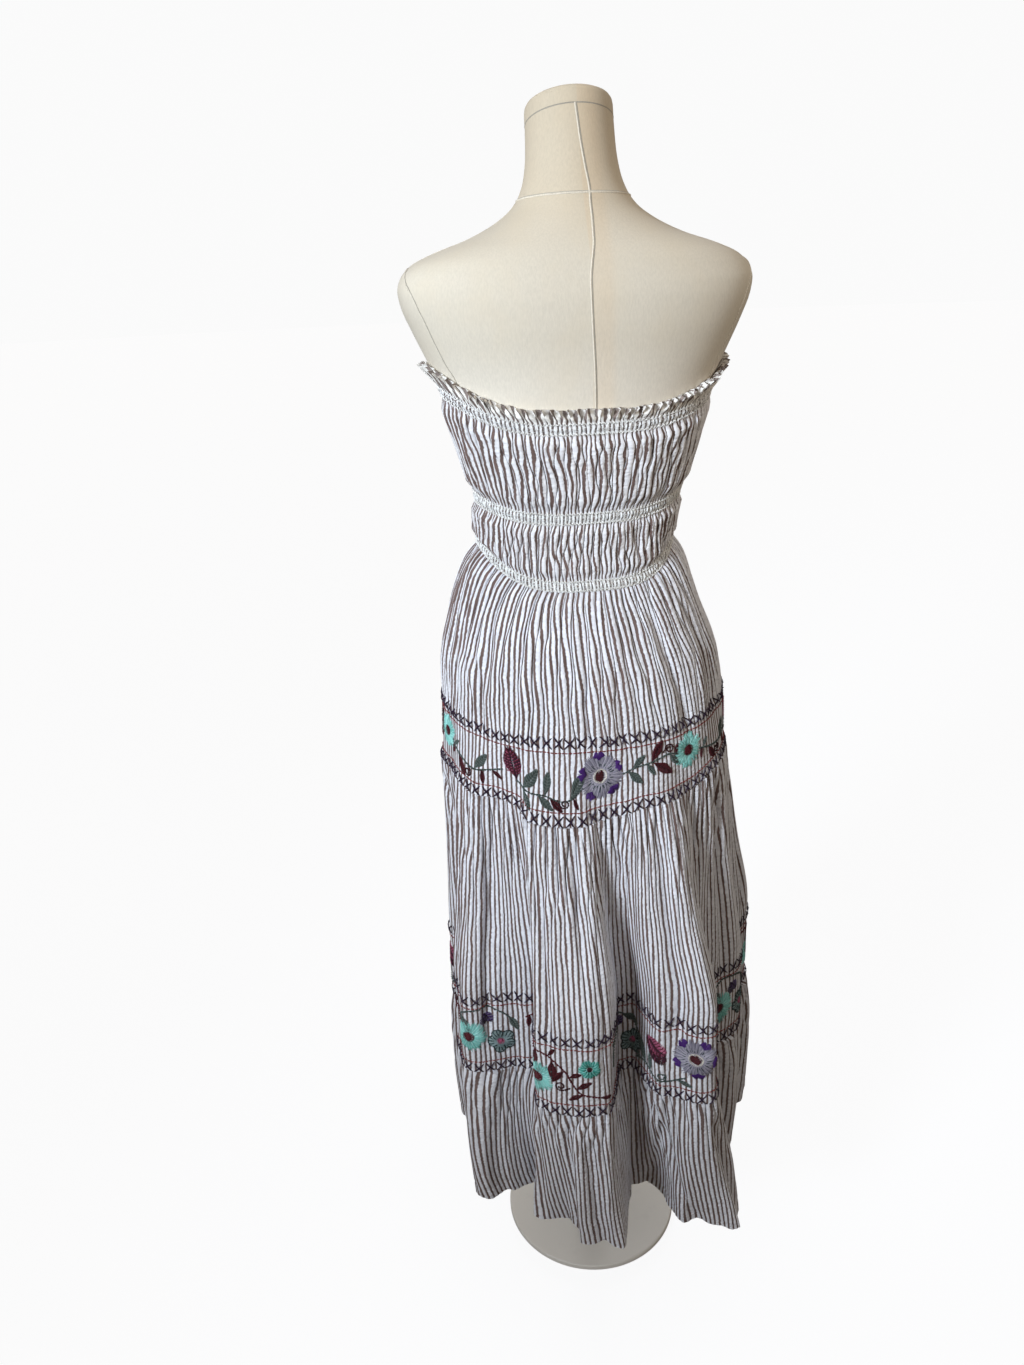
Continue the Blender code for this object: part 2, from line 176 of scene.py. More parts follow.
# The embroidered bands, measured up the flat cloth from the lower edge of their level
UPPER_CROSSES = 0.094      # middle of the upper row of crosses, upper band
LOWER_CROSSES = 0.111      # the same row of the lower band
BAND_FOOT = 0.0060         # middle of the lower row of crosses
TOP_LINE = 0.0108          # running stitch under the upper crosses
FOOT_LINE = 0.0100         # running stitch over the lower crosses

# Swells of each level that drift over the cloth, and its sways sideways: number of the random
# draw, how far, size of a swell along and down
BODICE_SWAYS = ((15, 0.0020, 0.019, 0.026), (16, 0.0010, 0.008, 0.010))
UPPER_SWELLS = ((33, 0.0016, 0.034, 0.140), (34, 0.0012, 0.015, 0.060))
UPPER_SWAYS = ((35, 0.0019, 0.026, 0.042), (36, 0.0008, 0.011, 0.015))
MIDDLE_SWELLS = ((45, 0.0024, 0.040, 0.160), (46, 0.0011, 0.017, 0.070))
MIDDLE_SWAYS = ((47, 0.0017, 0.030, 0.050), (48, 0.0007, 0.012, 0.018))
BOTTOM_SWELLS = ((65, 0.0048, 0.028, 0.200), (66, 0.0016, 0.014, 0.110))
BOTTOM_SWAYS = ((67, 0.0018, 0.030, 0.060), (68, 0.0007, 0.012, 0.020))

# Creases of the upper tier: turn at the top, turn at the foot, share of the way down where it
# starts and ends, depth (ridges are positive), half width on the cloth
UPPER_CREASES = (
    (133, 126, 0.2, 0.86, -0.0052, 0.009), (158, 156, 0.35, 0.95, -0.0036, 0.006),
    (167, 166, 0, 0.55, -0.0034, 0.0055), (174, 172, 0.05, 0.8, -0.0044, 0.006),
    (184, 186, 0.3, 1, -0.0036, 0.008), (197, 199, 0, 0.62, -0.0042, 0.006),
    (206, 216, 0.05, 0.85, -0.0065, 0.0085), (232, 236, 0.1, 0.9, -0.005, 0.009),
    (252, 251, 0.25, 1, -0.004, 0.0085), (290, 293, 0, 0.7, -0.0046, 0.008),
    (312, 309, 0.2, 0.9, -0.0052, 0.009), (333, 334, 0.05, 0.6, -0.0038, 0.006),
    (349, 352, 0.3, 0.95, -0.005, 0.0085), (8, 6, 0, 0.75, -0.0042, 0.0065),
    (27, 31, 0.15, 0.9, -0.0056, 0.009), (48, 46, 0.05, 0.65, -0.004, 0.0065),
    (70, 73, 0.2, 0.95, -0.0046, 0.0085), (104, 102, 0.1, 0.8, -0.005, 0.008),
    (146, 144, 0, 0.5, -0.003, 0.0055),
)
# The same for the middle tier
MIDDLE_CREASES = (
    (112, 112, 0, 0.7, -0.006, 0.01), (124, 124, 0.05, 0.9, -0.004, 0.007),
    (134, 132, 0.1, 1, -0.0048, 0.008), (153, 157, 0.1, 0.8, -0.0036, 0.007),
    (166, 166, 0, 0.55, -0.005, 0.008), (171, 170, 0.3, 1, -0.0034, 0.007),
    (190, 191, 0, 0.85, -0.005, 0.008), (203, 201, 0.2, 1, -0.004, 0.0075),
    (221, 220, 0, 0.8, -0.006, 0.01), (238, 237, 0.1, 0.9, -0.005, 0.008),
    (257, 256, 0, 0.75, -0.0046, 0.008), (289, 288, 0.1, 0.85, -0.0055, 0.0095),
    (303, 304, 0, 0.6, -0.0042, 0.007), (319, 320, 0.15, 1, -0.005, 0.0085),
    (335, 334, 0, 0.75, -0.0045, 0.0075), (2, 3, 0.1, 0.9, -0.0055, 0.009),
    (21, 20, 0, 0.7, -0.0042, 0.0075), (36, 37, 0.1, 0.95, -0.005, 0.0085),
    (52, 51, 0, 0.65, -0.0045, 0.0075), (66, 67, 0.2, 1, -0.005, 0.0085),
    (96, 97, 0, 0.8, -0.005, 0.009),
)
# Soft flutes of the bottom tier, which grow towards the hem
BOTTOM_CREASES = (
    (112, 111, 0, 1.1, -0.005, 0.01), (122, 121, 0.1, 1.2, -0.006, 0.011),
    (131, 128.5, 0, 1.2, 0.004, 0.009), (150, 146, 0.1, 1.2, 0.005, 0.009),
    (160, 159, 0, 1.1, -0.0055, 0.01), (166, 168, 0.15, 1.2, -0.006, 0.01),
    (190, 197, 0, 1.2, -0.004, 0.009), (202, 209, 0.1, 1.2, -0.0055, 0.011),
    (221, 224, 0, 1.2, 0.0055, 0.011), (238, 240, 0.05, 1.2, -0.0055, 0.011),
    (256, 257, 0, 1.2, 0.005, 0.01), (290, 289, 0, 1.2, -0.006, 0.011),
    (304, 305, 0.1, 1.2, 0.0055, 0.011), (319, 319, 0, 1.2, -0.0055, 0.01),
    (334, 333, 0.05, 1.2, 0.005, 0.01), (3, 4, 0, 1.2, -0.006, 0.011),
    (20, 19, 0.1, 1.2, -0.005, 0.01), (36, 37, 0, 1.2, 0.0055, 0.011),
    (52, 51, 0.05, 1.2, -0.0055, 0.01), (67, 68, 0, 1.2, 0.005, 0.01),
    (97, 98, 0, 1.2, -0.0055, 0.011),
)


# ---------------------------------------------------------------- shapes
def smooth_rows(knots, rows, places):
    """Rows of numbers read on a smooth curve through the given ones, with no overshoot."""
    knots, rows = np.asarray(knots, float), np.asarray(rows, float)
    places = np.asarray(places, float)
    upright = (-1,) + (1,) * (rows.ndim - 1)
    gaps = np.diff(knots).reshape(upright)
    slopes = np.diff(rows, axis=0) / gaps
    before, after = slopes[:-1], slopes[1:]
    together = before * after
    even = 2.0 * together / np.where(together > 0.0, before + after, 1.0)
    middle = np.where(together > 0.0, even, 0.0)
    tangents = np.concatenate([slopes[:1], middle, slopes[-1:]])
    index = np.clip(np.searchsorted(knots, places, side="right") - 1, 0, len(knots) - 2)
    gap = gaps[index]
    share = (places - knots[index]) / (knots[index + 1] - knots[index])
    share = np.clip(share, 0.0, 1.0).reshape(upright)
    square, cube = share ** 2, share ** 3
    return (rows[index] * (2 * cube - 3 * square + 1) + rows[index + 1] * (3 * square - 2 * cube)
            + gap * tangents[index] * (cube - 2 * square + share)
            + gap * tangents[index + 1] * (cube - square))


def hump(off, width):
    """A smooth hump: 1 at its middle, and less the further off, over about its width."""
    return np.exp(-(off / width) ** 2)


def section_at(heights):
    """Half width, back depth, front depth and roundness of the form at each height."""
    table = np.array(FORM_SECTIONS)
    read = smooth_rows(table[:, 0], table[:, 1:], np.atleast_1d(heights))
    return read.T


def oval(turns, half_width, back, front, power):
    """Points of a rounded section; its back and front halves have their own depths."""
    across = np.sin(turns)
    ahead = np.cos(turns)
    depth = np.where(ahead > 0.0, front, back)
    x = half_width * np.sign(across) * np.abs(across) ** (2.0 / power)
    y = -depth * np.sign(ahead) * np.abs(ahead) ** (2.0 / power)
    return np.stack([x, y], axis=-1)


def body_oval(turns, heights):
    """Points of the form's own section; the waist stands a little to one side."""
    points = oval(turns, *section_at(heights))
    aside, waist, spread = WAIST_SWAY
    points[:, 0] += aside * hump(heights - waist, spread)
    return points


def outward(points):
    """Outward directions of a closed outline that runs by rising turn."""
    tangent = np.roll(points, -1, axis=0) - np.roll(points, 1, axis=0)
    normal = np.stack([tangent[:, 1], -tangent[:, 0]], axis=-1)
    return normal / np.linalg.norm(normal, axis=1)[:, None]


def sloping(turns, back, side, front):
    """Height of a seam line that lies higher at the sides than at back and front."""
    climb = np.abs(np.sin(turns)) ** SIDE_RISE_POWER
    middle = np.where(np.cos(turns) > 0.0, front, back)
    return middle + (side - middle) * climb


def outline_turns():
    """Turns of the points of a worked-out outline."""
    return np.linspace(0.0, 2.0 * math.pi, OUTLINE_STEPS, endpoint=False)


def bodice_outline(back, side, front, distance):
    """Outer face of the cloth along one line of the bodice, all round."""
    turns = outline_turns()
    heights = sloping(turns, back, side, front)
    slip, turn, spread, low, rise = RIGHT_SLIP
    slip = slip * np.clip((back - low) / rise, 0.0, 1.0)
    heights = heights - slip * hump(turns - math.radians(turn), spread)
    points = body_oval(turns, heights)
    points += outward(points) * (distance + CLOTH)
    return np.column_stack([points, heights])


def upper_tier_outline(row):
    """Outer face of the upper tier along one of its rows."""
    back, side, front, half_width, back_depth, front_depth, shift = row
    turns = outline_turns()
    points = oval(turns, half_width, back_depth, front_depth, SECTION_POWER)
    points[:, 0] += shift
    return np.column_stack([points, sloping(turns, back, side, front)])


def fold_reach(turns, level):
    """Reach of the folded cloth at the band or the hem, eased from fold line to fold line."""
    table = np.array(FOLDS)
    angles = np.radians(table[:, level])
    reaches = table[:, level + 1]
    angles = np.concatenate([angles[-1:] - 2.0 * math.pi, angles, angles[:1] + 2.0 * math.pi])
    reaches = np.concatenate([reaches[-1:], reaches, reaches[:1]])
    place = np.clip(np.searchsorted(angles, turns, side="right") - 1, 0, len(angles) - 2)
    share = (turns - angles[place]) / (angles[place + 1] - angles[place])
    eased = 0.5 - 0.5 * np.cos(math.pi * share)
    reach = reaches[place] + (reaches[place + 1] - reaches[place]) * eased
    for turn, swing, spread in SIDE_SWINGS[level]:
        reach += swing * hump(turns - math.radians(turn), math.radians(spread))
    return reach


def polar(turns, reach):
    """Points at turns round the Z axis, as far from it as their reach."""
    return np.stack([reach * np.sin(turns), -reach * np.cos(turns)], axis=-1)


def upper_seam_outline():
    """The seam of the upper and middle tiers, where the folds begin."""
    outline = upper_tier_outline(UPPER_SEAM)
    reach = fold_reach(outline_turns(), AT_BAND)
    wave = np.array(SEAM_WAVE)
    places = np.radians(wave[:, 0])
    wave = smooth_rows(places, wave[:, 1:], outline_turns() % places[-1])
    swing = (reach - reach.mean()) * SEAM_FOLD + wave[:, 1]
    outline[:, :2] += outward(outline[:, :2]) * swing[:, None]
    outline[:, 2] += wave[:, 0]
    return outline


def folded_outline(height, belly=0.0):
    """Outer face of the middle or bottom tier at one height."""
    turns = outline_turns()
    band = polar(turns, fold_reach(turns, AT_BAND) + belly * BELLY)
    band[:, 0] += BAND_SHIFT
    if height < LOWER_SEAM:
        hem = polar(turns, fold_reach(turns, AT_HEM) + belly * BELLY)
        hem[:, 0] += HEM_SHIFT
        share = (LOWER_SEAM - height) / (LOWER_SEAM - HEM)
        return np.column_stack([band + (hem - band) * share, np.full(OUTLINE_STEPS, height)])
    seam = upper_seam_outline()
    share = min(1.0, (UPPER_SEAM[0] - height) / (UPPER_SEAM[0] - LOWER_BAND_TOP))
    points = seam[:, :2] + (band - seam[:, :2]) * share
    heights = seam[:, 2] + (height - UPPER_SEAM[0])
    heights = heights + (height - heights) * share
    return np.column_stack([points, heights])


def lowered(outline, drop):
    """The same outline, lower down."""
    return outline - np.array([0.0, 0.0, drop])


def spaced(*stretches):
    """Places down a piece: each stretch is where it ends and how many rows it has."""
    places, start = [np.zeros(1)], 0.0
    for end, rows in stretches:
        places.append(np.linspace(start, end, rows + 1)[1:])
        start = end
    return np.concatenate(places)


def wander(seed, along, down, period, cell_along, cell_down):
    """Smooth values from -1 to 1 that drift over the cloth and meet again all round it."""
    columns = max(3, round(period / cell_along))
    rows = int(np.max(down) / cell_down) + 4
    lattice = np.random.default_rng(seed).uniform(-1.0, 1.0, (rows, columns))
    across, below = along / period * columns, down / cell_down + 1.0
    column, row = np.floor(across).astype(int), np.floor(below).astype(int)
    right, lower = across - column, below - row
    right, lower = right ** 2 * (3.0 - 2.0 * right), lower ** 2 * (3.0 - 2.0 * lower)
    first, second = column % columns, (column + 1) % columns
    upper_row = lattice[row, first] * (1.0 - right) + lattice[row, second] * right
    lower_row = lattice[row + 1, first] * (1.0 - right) + lattice[row + 1, second] * right
    return upper_row * (1.0 - lower) + lower_row * lower


def drifts(cloth, along, down, *swells):
    """Sum of swells that drift over the cloth: seed, height, size along and down of each."""
    return sum(height * wander(seed, along, down, cloth.period, *cell)
               for seed, height, *cell in swells)


def ribs(phase, roundness=0.9):
    """Rounded ribs with narrow valleys, one to each whole number; from 0 to 1."""
    return np.abs(np.sin(math.pi * phase)) ** roundness


def fade(value, start, end):
    """Eases from 1 at the start to 0 at the end."""
    share = np.clip((value - start) / (end - start), 0.0, 1.0)
    return 1.0 - share ** 2 * (3.0 - 2.0 * share)


class Cloth:
    """One level of the dress as a fine surface: its back and its front, seam to seam."""

    def __init__(self, outlines, downs, columns, reference, pins=None, hold=0.0):
        """Outlines are the rows of the surface.  Each is cut at the side seams and spaced
        evenly, or held in step with the reference row at the pinned turns of the folds;
        hold, from 0 to 1, is how far the pins have their way."""
        self.downs = np.asarray(downs)
        self.columns = columns
        self.hold = hold
        shares = self.downs / self.downs[-1]
        pins = pins or (lambda share: np.array([]))
        self.flat_pins = [run - run[0] for run in pin_runs(reference, pins(1.0))]
        self.starts = (0.0, self.flat_pins[0][-1])
        self.widths = [flat[-1] for flat in self.flat_pins]
        self.period = sum(self.widths)
        rows = [self.cut(outline, pins(share)) for outline, share in zip(outlines, shares)]
        self.halves = [np.stack([row[side] for row in rows]) for side in (0, 1)]
        self.rounds = np.array([closed_length(outline) for outline in outlines])
        turns, run = run_by_turn(reference)
        self.turn_run = turns, run - np.interp(SEAM_TURNS[0], turns, run)

    def cut(self, outline, pins):
        """Points and outward directions of both halves of an outline."""
        full = np.column_stack([outline, outward(outline[:, :2])])
        closed = np.vstack([full, full, full[:1]])
        run = closed_run(outline, 2)
        runs = pin_runs(outline, pins)
        halves = []
        for side in (0, 1):
            flat = np.linspace(0.0, self.widths[side], self.columns + 1)
            held = smooth_rows(self.flat_pins[side], runs[side], flat)
            even = np.linspace(runs[side][0], runs[side][-1], self.columns + 1)
            places = even + (held - even) * self.hold
            places[0] += 0.5 * SEAM_GAP
            places[-1] -= 0.5 * SEAM_GAP
            halves.append(np.stack([np.interp(places, run, part) for part in closed.T], axis=-1))
        return halves

    def widen(self, width):
        """Gather a wider flat cloth into the same surface."""
        share = width / self.period
        self.widths = [share * own for own in self.widths]
        self.starts = (0.0, self.widths[0])
        self.period = width
        self.turn_run = self.turn_run[0], self.turn_run[1] * share
        return self

    def fullness(self, down):
        """Length of the surface round the body for each metre of flat cloth."""
        return np.interp(down, self.downs, self.rounds) / self.period

    def at_turn(self, turn):
        """Place along the flat cloth that lies at a turn of the body."""
        turns, run = self.turn_run
        return float(np.interp(turn if turn >= SEAM_TURNS[0] else turn + 360.0, turns, run))

    def places(self, side):
        """Flat coordinates of every point of one half: along and down."""
        start = self.starts[side]
        along = np.linspace(start, start + self.widths[side], self.columns + 1)
        return np.meshgrid(along, self.downs)

    def shape(self, relief, room=None):
        """Raise the surface by relief(along, down): out, sideways and up; and back it.
        Room is how far the cloth may sink before it meets what it lies on."""
        outer_halves, self.inner = [], []
        for side in (0, 1):
            along, down = self.places(side)
            out, sideways, up = relief(along, down)
            base = self.halves[side]
            direction = base[:, :, 3:] / np.linalg.norm(base[:, :, 3:], axis=2)[:, :, None]
            tangent = np.stack([-direction[:, :, 1], direction[:, :, 0]], axis=-1)
            edge = np.minimum(along - along[0, 0], along[0, -1] - along)
            sideways = sideways * np.clip(edge / SEAM_EASE, 0.0, 1.0)
            out = out - SEAM_DIP[0] * hump(edge, SEAM_DIP[1])
            deepest = -np.inf if room is None else -room(down)
            out = np.maximum(out, deepest + WALL)
            behind = np.maximum(lowest_near(out) - WALL, deepest)
            outer, inner = base[:, :, :3].copy(), base[:, :, :3].copy()
            for surface, offset in ((outer, out), (inner, behind)):
                surface[:, :, :2] += direction * offset[:, :, None]
                surface[:, :, :2] += tangent * sideways[:, :, None]
                surface[:, :, 2] += up
            outer_halves.append(outer)
            self.inner.append(inner[::INNER_STEP, ::INNER_STEP])
        self.outer = np.stack(outer_halves)
        self.normals = np.stack([surface_normals(outer) for outer in outer_halves])
        return self

    def point(self, along, down, lift):
        """Points at flat coordinates, lifted off the cloth, and the cloth's outward side."""
        along = np.mod(np.asarray(along, float), self.period)
        side = (along >= self.widths[0]).astype(int)
        share = (along - np.array(self.starts)[side]) / np.array(self.widths)[side]
        column = np.clip(share, 0.0, 0.999999) * self.columns
        last = len(self.downs) - 1.000001
        row = np.clip(np.interp(down, self.downs, np.arange(len(self.downs))), 0.0, last)
        left, top = column.astype(int), row.astype(int)
        right, below = (column - left)[..., None], (row - top)[..., None]

        def read(grid):
            upper = grid[side, top, left] * (1 - right) + grid[side, top, left + 1] * right
            lower = grid[side, top + 1, left] * (1 - right) + grid[side, top + 1, left + 1] * right
            return upper * (1 - below) + lower * below

        normal = read(self.normals)
        normal /= np.linalg.norm(normal, axis=-1)[..., None]
        return read(self.outer) + normal * np.asarray(lift)[..., None], normal


def closed_run(outline, rounds=1):
    """Length along a closed outline up to each of its points, for some rounds of it."""
    closed = np.vstack([outline] * rounds + [outline[:1]])[:, :2]
    steps = np.linalg.norm(np.diff(closed, axis=0), axis=1)
    return np.concatenate([[0.0], np.cumsum(steps)])


def closed_length(outline):
    """Length once round a closed outline."""
    return closed_run(outline)[-1]


def run_by_turn(outline):
    """Turns of an outline's points, twice round, and the length run up to each."""
    return np.linspace(0.0, 720.0, 2 * OUTLINE_STEPS + 1), closed_run(outline, 2)


def pin_runs(outline, pins):
    """Length run up to the side seams and pins of an outline, for each of its halves."""
    turns, run = run_by_turn(outline)
    pins = np.concatenate([pins, np.asarray(pins) + 360.0])
    ends = (*SEAM_TURNS, SEAM_TURNS[0] + 360.0)
    runs = []
    for first, last in zip(ends, ends[1:]):
        own = pins[(pins > first + PIN_CLEARANCE) & (pins < last - PIN_CLEARANCE)]
        runs.append(np.interp(np.concatenate([[first], own, [last]]), turns, run))
    return runs


def lowest_near(values):
    """The lowest value within one inner step of each place."""
    for axis in (0, 1):
        reach = [(INNER_STEP, INNER_STEP) if own == axis else (0, 0) for own in (0, 1)]
        padded = np.pad(values, reach, mode="edge")
        count = values.shape[axis]
        shifts = [padded.take(range(shift, shift + count), axis)
                  for shift in range(2 * INNER_STEP + 1)]
        values = np.min(shifts, axis=0)
    return values


def surface_normals(grid):
    """Outward directions at the points of a grid of rows going down and columns along."""
    along = np.gradient(grid, axis=1)
    down = np.gradient(grid, axis=0)
    normal = np.cross(down, along)
    return normal / np.maximum(np.linalg.norm(normal, axis=2)[:, :, None], 1e-12)


def crease_relief(cloth, creases, along, down, length):
    """Sum of the main creases placed on a level of the dress."""
    total = np.zeros_like(along)
    for top_turn, foot_turn, start, end, depth, width in creases:
        top, foot = cloth.at_turn(top_turn), cloth.at_turn(foot_turn)
        centre = top + (foot - top) * down / length
        off = np.mod(along - centre + 0.5 * cloth.period, cloth.period) - 0.5 * cloth.period
        share = down / length
        before, after = CREASE_START
        ends = fade(-share, -start - before, -start + after) if start > 0.0 else 1.0
        ends = ends * fade(share, end - CREASE_END, end)
        total += depth * hump(off, width) * ends
    return total


# ---------------------------------------------------------------- the levels of the dress
def settings():
    """The sizes and colours that a user may change."""
    return bpy.context.scene.midi_dress


def fold_pins(share_of_hem):
    """Turns of the fold lines, between the embroidered band and the hem."""
    table = np.array(FOLDS)
    return table[:, 0] + (table[:, 2] - table[:, 0]) * share_of_hem


def gathers(cloth, seed, along, down, spacing, squeeze, depth, wave):
    """Soft tucks under a gathered seam: how far the cloth moves out and sideways.
    Squeeze, from 0 to 1, is how closely the cloth bunches in the valleys; wave is the
    distance down which a tuck strays."""
    count = round(cloth.period / spacing)
    phase = along * count / cloth.period
    phase = phase + drifts(cloth, along, down, (seed, 0.62, 1.9 * spacing, wave))
    phase = phase + drifts(cloth, along, down, (seed + 1, 0.22, 0.9 * spacing, 0.45 * wave))
    own = 1.0 + drifts(cloth, along, down, (seed + 2, 0.40, 1.6 * spacing, 1.2 * wave))
    surface = cloth.fullness(down) * cloth.period / count
    out = depth * own * (ribs(phase, 0.8) - 0.58)
    sideways = -squeeze * surface / (2.0 * math.pi) * np.sin(2.0 * math.pi * phase)
    return out, sideways


def stitched_flat(down, length, crosses):
    """Falls to less than half where the needlework holds the cloth flat."""
    return 1.0 - 0.6 * fade(-down, crosses - length - 0.006, crosses - length + 0.004)


def gathered_share(cloth, seed, along, down, spacing, reach, power=1.5):
    """How strongly a level is gathered at each place; each tuck has a reach of its own."""
    own = wander(seed, along, 0.0 * along, cloth.period, 1.4 * spacing, 1.0)
    return np.exp(-(down / (reach * (1.0 + 0.60 * own))) ** power)


@functools.lru_cache(maxsize=None)
def flat_skirt_width():
    """Flat width of the upper tier, and of the bodice gathered with it at the waist."""
    return closed_length(upper_seam_outline())


def shirred_bands():
    """Where the shirred bands lie, down the flat bodice: top and foot of each."""
    heights = [line[1] for line in BODICE_LINES]
    return [(heights[0] - heights[line], heights[0] - heights[line + 1]) for line in SHIRRED]


@functools.lru_cache(maxsize=None)
def bodice_cloth():
    """The bodice: its ruffle's edge, three shirred bands and the puffs between them."""
    pitch = settings().stripe_pitch
    lines = np.array([line[1:] for line in BODICE_LINES])
    knots = lines[0, 0] - lines[:, 0]
    downs = spaced((knots[2], 12), (knots[3], 8), (knots[6], 32), (knots[7], 8),
                   (knots[10], 24), (knots[11], 8))
    fine = smooth_rows(knots, lines, downs)
    outlines = [bodice_outline(*row) for row in fine]
    cloth = Cloth(outlines, downs, BODICE_COLUMNS, outlines[0]).widen(flat_skirt_width())

    def relief(along, down):
        drift = functools.partial(drifts, cloth, along, down)
        loose = np.interp(down, downs, np.clip((fine[:, 3] - HUG) / 0.0035, 0.0, 1.0))
        ruffle = fade(down, 0.0, knots[2])
        panel = loose * (1.0 - ruffle)
        phase = along / pitch + loose * 0.30 * drift((11, 1.0, 0.016, 0.022))
        swell = 1.0 + drift((13, 0.35, 0.009, 0.018))
        rib = 0.0009 + 0.0009 * panel
        out = rib * swell * (ribs(phase, 0.9 - 0.2 * panel) - 0.6)
        tuck, squeeze = gathers(cloth, 21, along, down, 0.0165, 0.25 + 0.60 * panel,
                                0.0005 + 0.0044 * panel, 0.036)
        out = out + tuck + 0.0010 * panel * drift((14, 1.0, 0.030, 0.045))
        pucker = np.sin(2.0 * math.pi * (along / 0.0047 + drift((19, 0.6, 0.008, 0.006))))
        for top, foot in shirred_bands():
            out = out + (0.0010 + 0.0007 * pucker) * hump(down - 0.5 * (top + foot), 0.0036)
            for row in (top + 0.0018, foot - 0.0018):
                out = out - 0.0009 * hump(down - row, 0.0012)
        sideways = squeeze + panel * drift(*BODICE_SWAYS)
        lean = drift((17, 0.55, 0.026, 0.050))
        lean = lean + ruffle * 0.75 * drift((22, 1.0, 0.030, 0.050))
        wave = 2.0 * math.pi * (along / 0.0112 + lean)
        facet = np.sin(wave + 0.55 * np.sin(wave))
        curl = ruffle ** 1.2
        own = 1.0 + drift((18, 0.35, 0.020, 0.050))
        out = out + curl * 0.0044 * own * facet - 0.0006 * ruffle
        sideways = sideways + curl * 0.0022 * np.cos(wave)
        turn = 2.0 * math.pi * (along - cloth.at_turn(SEAM_TURNS[0])) / cloth.period
        end = np.abs(np.sin(turn + 0.5 * math.pi)) ** 6.0
        up = curl * (drift((20, 0.0014, 0.014, 0.040)) - 0.0009 * np.sin(wave + 1.1)
                     + 0.0040 * end)
        return out - curl * (0.0062 - 0.0032 * end), sideways, up

    def room(down):
        return CLOTH - 0.0005 + np.interp(down, downs, fine[:, 3])

    return cloth.shape(relief, room)


def skirt_level(outlines, knots, places, columns, pins=None, hold=0.0):
    """A level of the skirt through its outlines, worked as finely as the places say."""
    rows = smooth_rows(knots, np.stack(outlines), places)
    return Cloth(rows, places, columns, outlines[-1], pins, hold)


@functools.lru_cache(maxsize=None)
def upper_tier_cloth():
    """The upper tier, gathered at the waist and creased over the hips."""
    pitch = settings().stripe_pitch
    waist = BODICE_LINES[-1]
    outlines = [lowered(bodice_outline(*waist[1:]), SEAM_GAP)]
    outlines += [upper_tier_outline(row) for row in UPPER_TIER[:-1]]
    outlines += [upper_seam_outline()]
    knots = waist[1] - np.array([outline[OUTLINE_STEPS // 2, 2] for outline in outlines])
    knots -= knots[0]
    length = knots[-1]
    places = spaced((0.030, 12), (length - 0.012, 44), (length, 4))
    cloth = skirt_level(outlines, knots, places, UPPER_COLUMNS)

    def relief(along, down):
        drift = functools.partial(drifts, cloth, along, down)
        gathered = gathered_share(cloth, 30, along, down, 0.020, 0.120)
        phase = along / pitch + drift((31, 0.22, 0.022, 0.050))
        swell = 1.0 + drift((32, 0.45, 0.012, 0.040))
        held = stitched_flat(down, length, UPPER_CROSSES)
        rib = 0.0012 + 0.0008 * gathered
        out = held * rib * swell * (ribs(phase) - RIB_LEVEL)
        tuck, sideways = gathers(cloth, 37, along, down, 0.0205, 0.84 * gathered,
                                 0.0048 * gathered * fade(-down, -0.004, 0.0), 0.070)
        out = out + tuck
        loose = held * fade(down, length - 0.020, length) * (1.0 - hump(down, 0.02))
        out = out + loose * drift(*UPPER_SWELLS)
        out = out + crease_relief(cloth, UPPER_CREASES, along, down, length) * loose
        out = out + 0.0015 * hump(length - down, 0.006)
        return out, sideways + loose * drift(*UPPER_SWAYS), 0.0

    return cloth.shape(relief, lambda down: 0.0022 + 0.35 * down)


@functools.lru_cache(maxsize=None)
def middle_tier_cloth():
    """The middle tier, gathered into the upper one, whose folds deepen to the band."""
    pitch = settings().stripe_pitch
    outlines = [lowered(upper_seam_outline(), SEAM_GAP)]
    outlines += [folded_outline(height) for height in MIDDLE_TIER_HEIGHTS]
    knots = UPPER_SEAM[0] - np.array([UPPER_SEAM[0], *MIDDLE_TIER_HEIGHTS])
    length = knots[-1]
    places = spaced((0.030, 12), (length - 0.012, 44), (length, 4))
    cloth = skirt_level(outlines, knots, places, LOWER_COLUMNS, lambda share: fold_pins(0.0),
                        hold=0.35)

    def relief(along, down):
        drift = functools.partial(drifts, cloth, along, down)
        phase = along / pitch + drift((41, 0.14, 0.030, 0.060))
        rib = 0.0010 * stitched_flat(down, length, LOWER_CROSSES)
        gathered = gathered_share(cloth, 49, along, down, 0.017, 0.100)
        tuck, sideways = gathers(cloth, 42, along, down, 0.0170, 0.88 * gathered,
                                 0.0084 * gathered, 0.060)
        out = rib * (ribs(phase) - RIB_LEVEL) + tuck
        loose = fade(down, length - 0.024, length) * (1.0 - hump(down, 0.03))
        out = out + loose * drift(*MIDDLE_SWELLS)
        out = out + 1.8 * crease_relief(cloth, MIDDLE_CREASES, along, down, length) * loose
        out = out + 0.0014 * hump(length - down, 0.006)
        return out, sideways + loose * drift(*MIDDLE_SWAYS), 0.0

    return cloth.shape(relief)


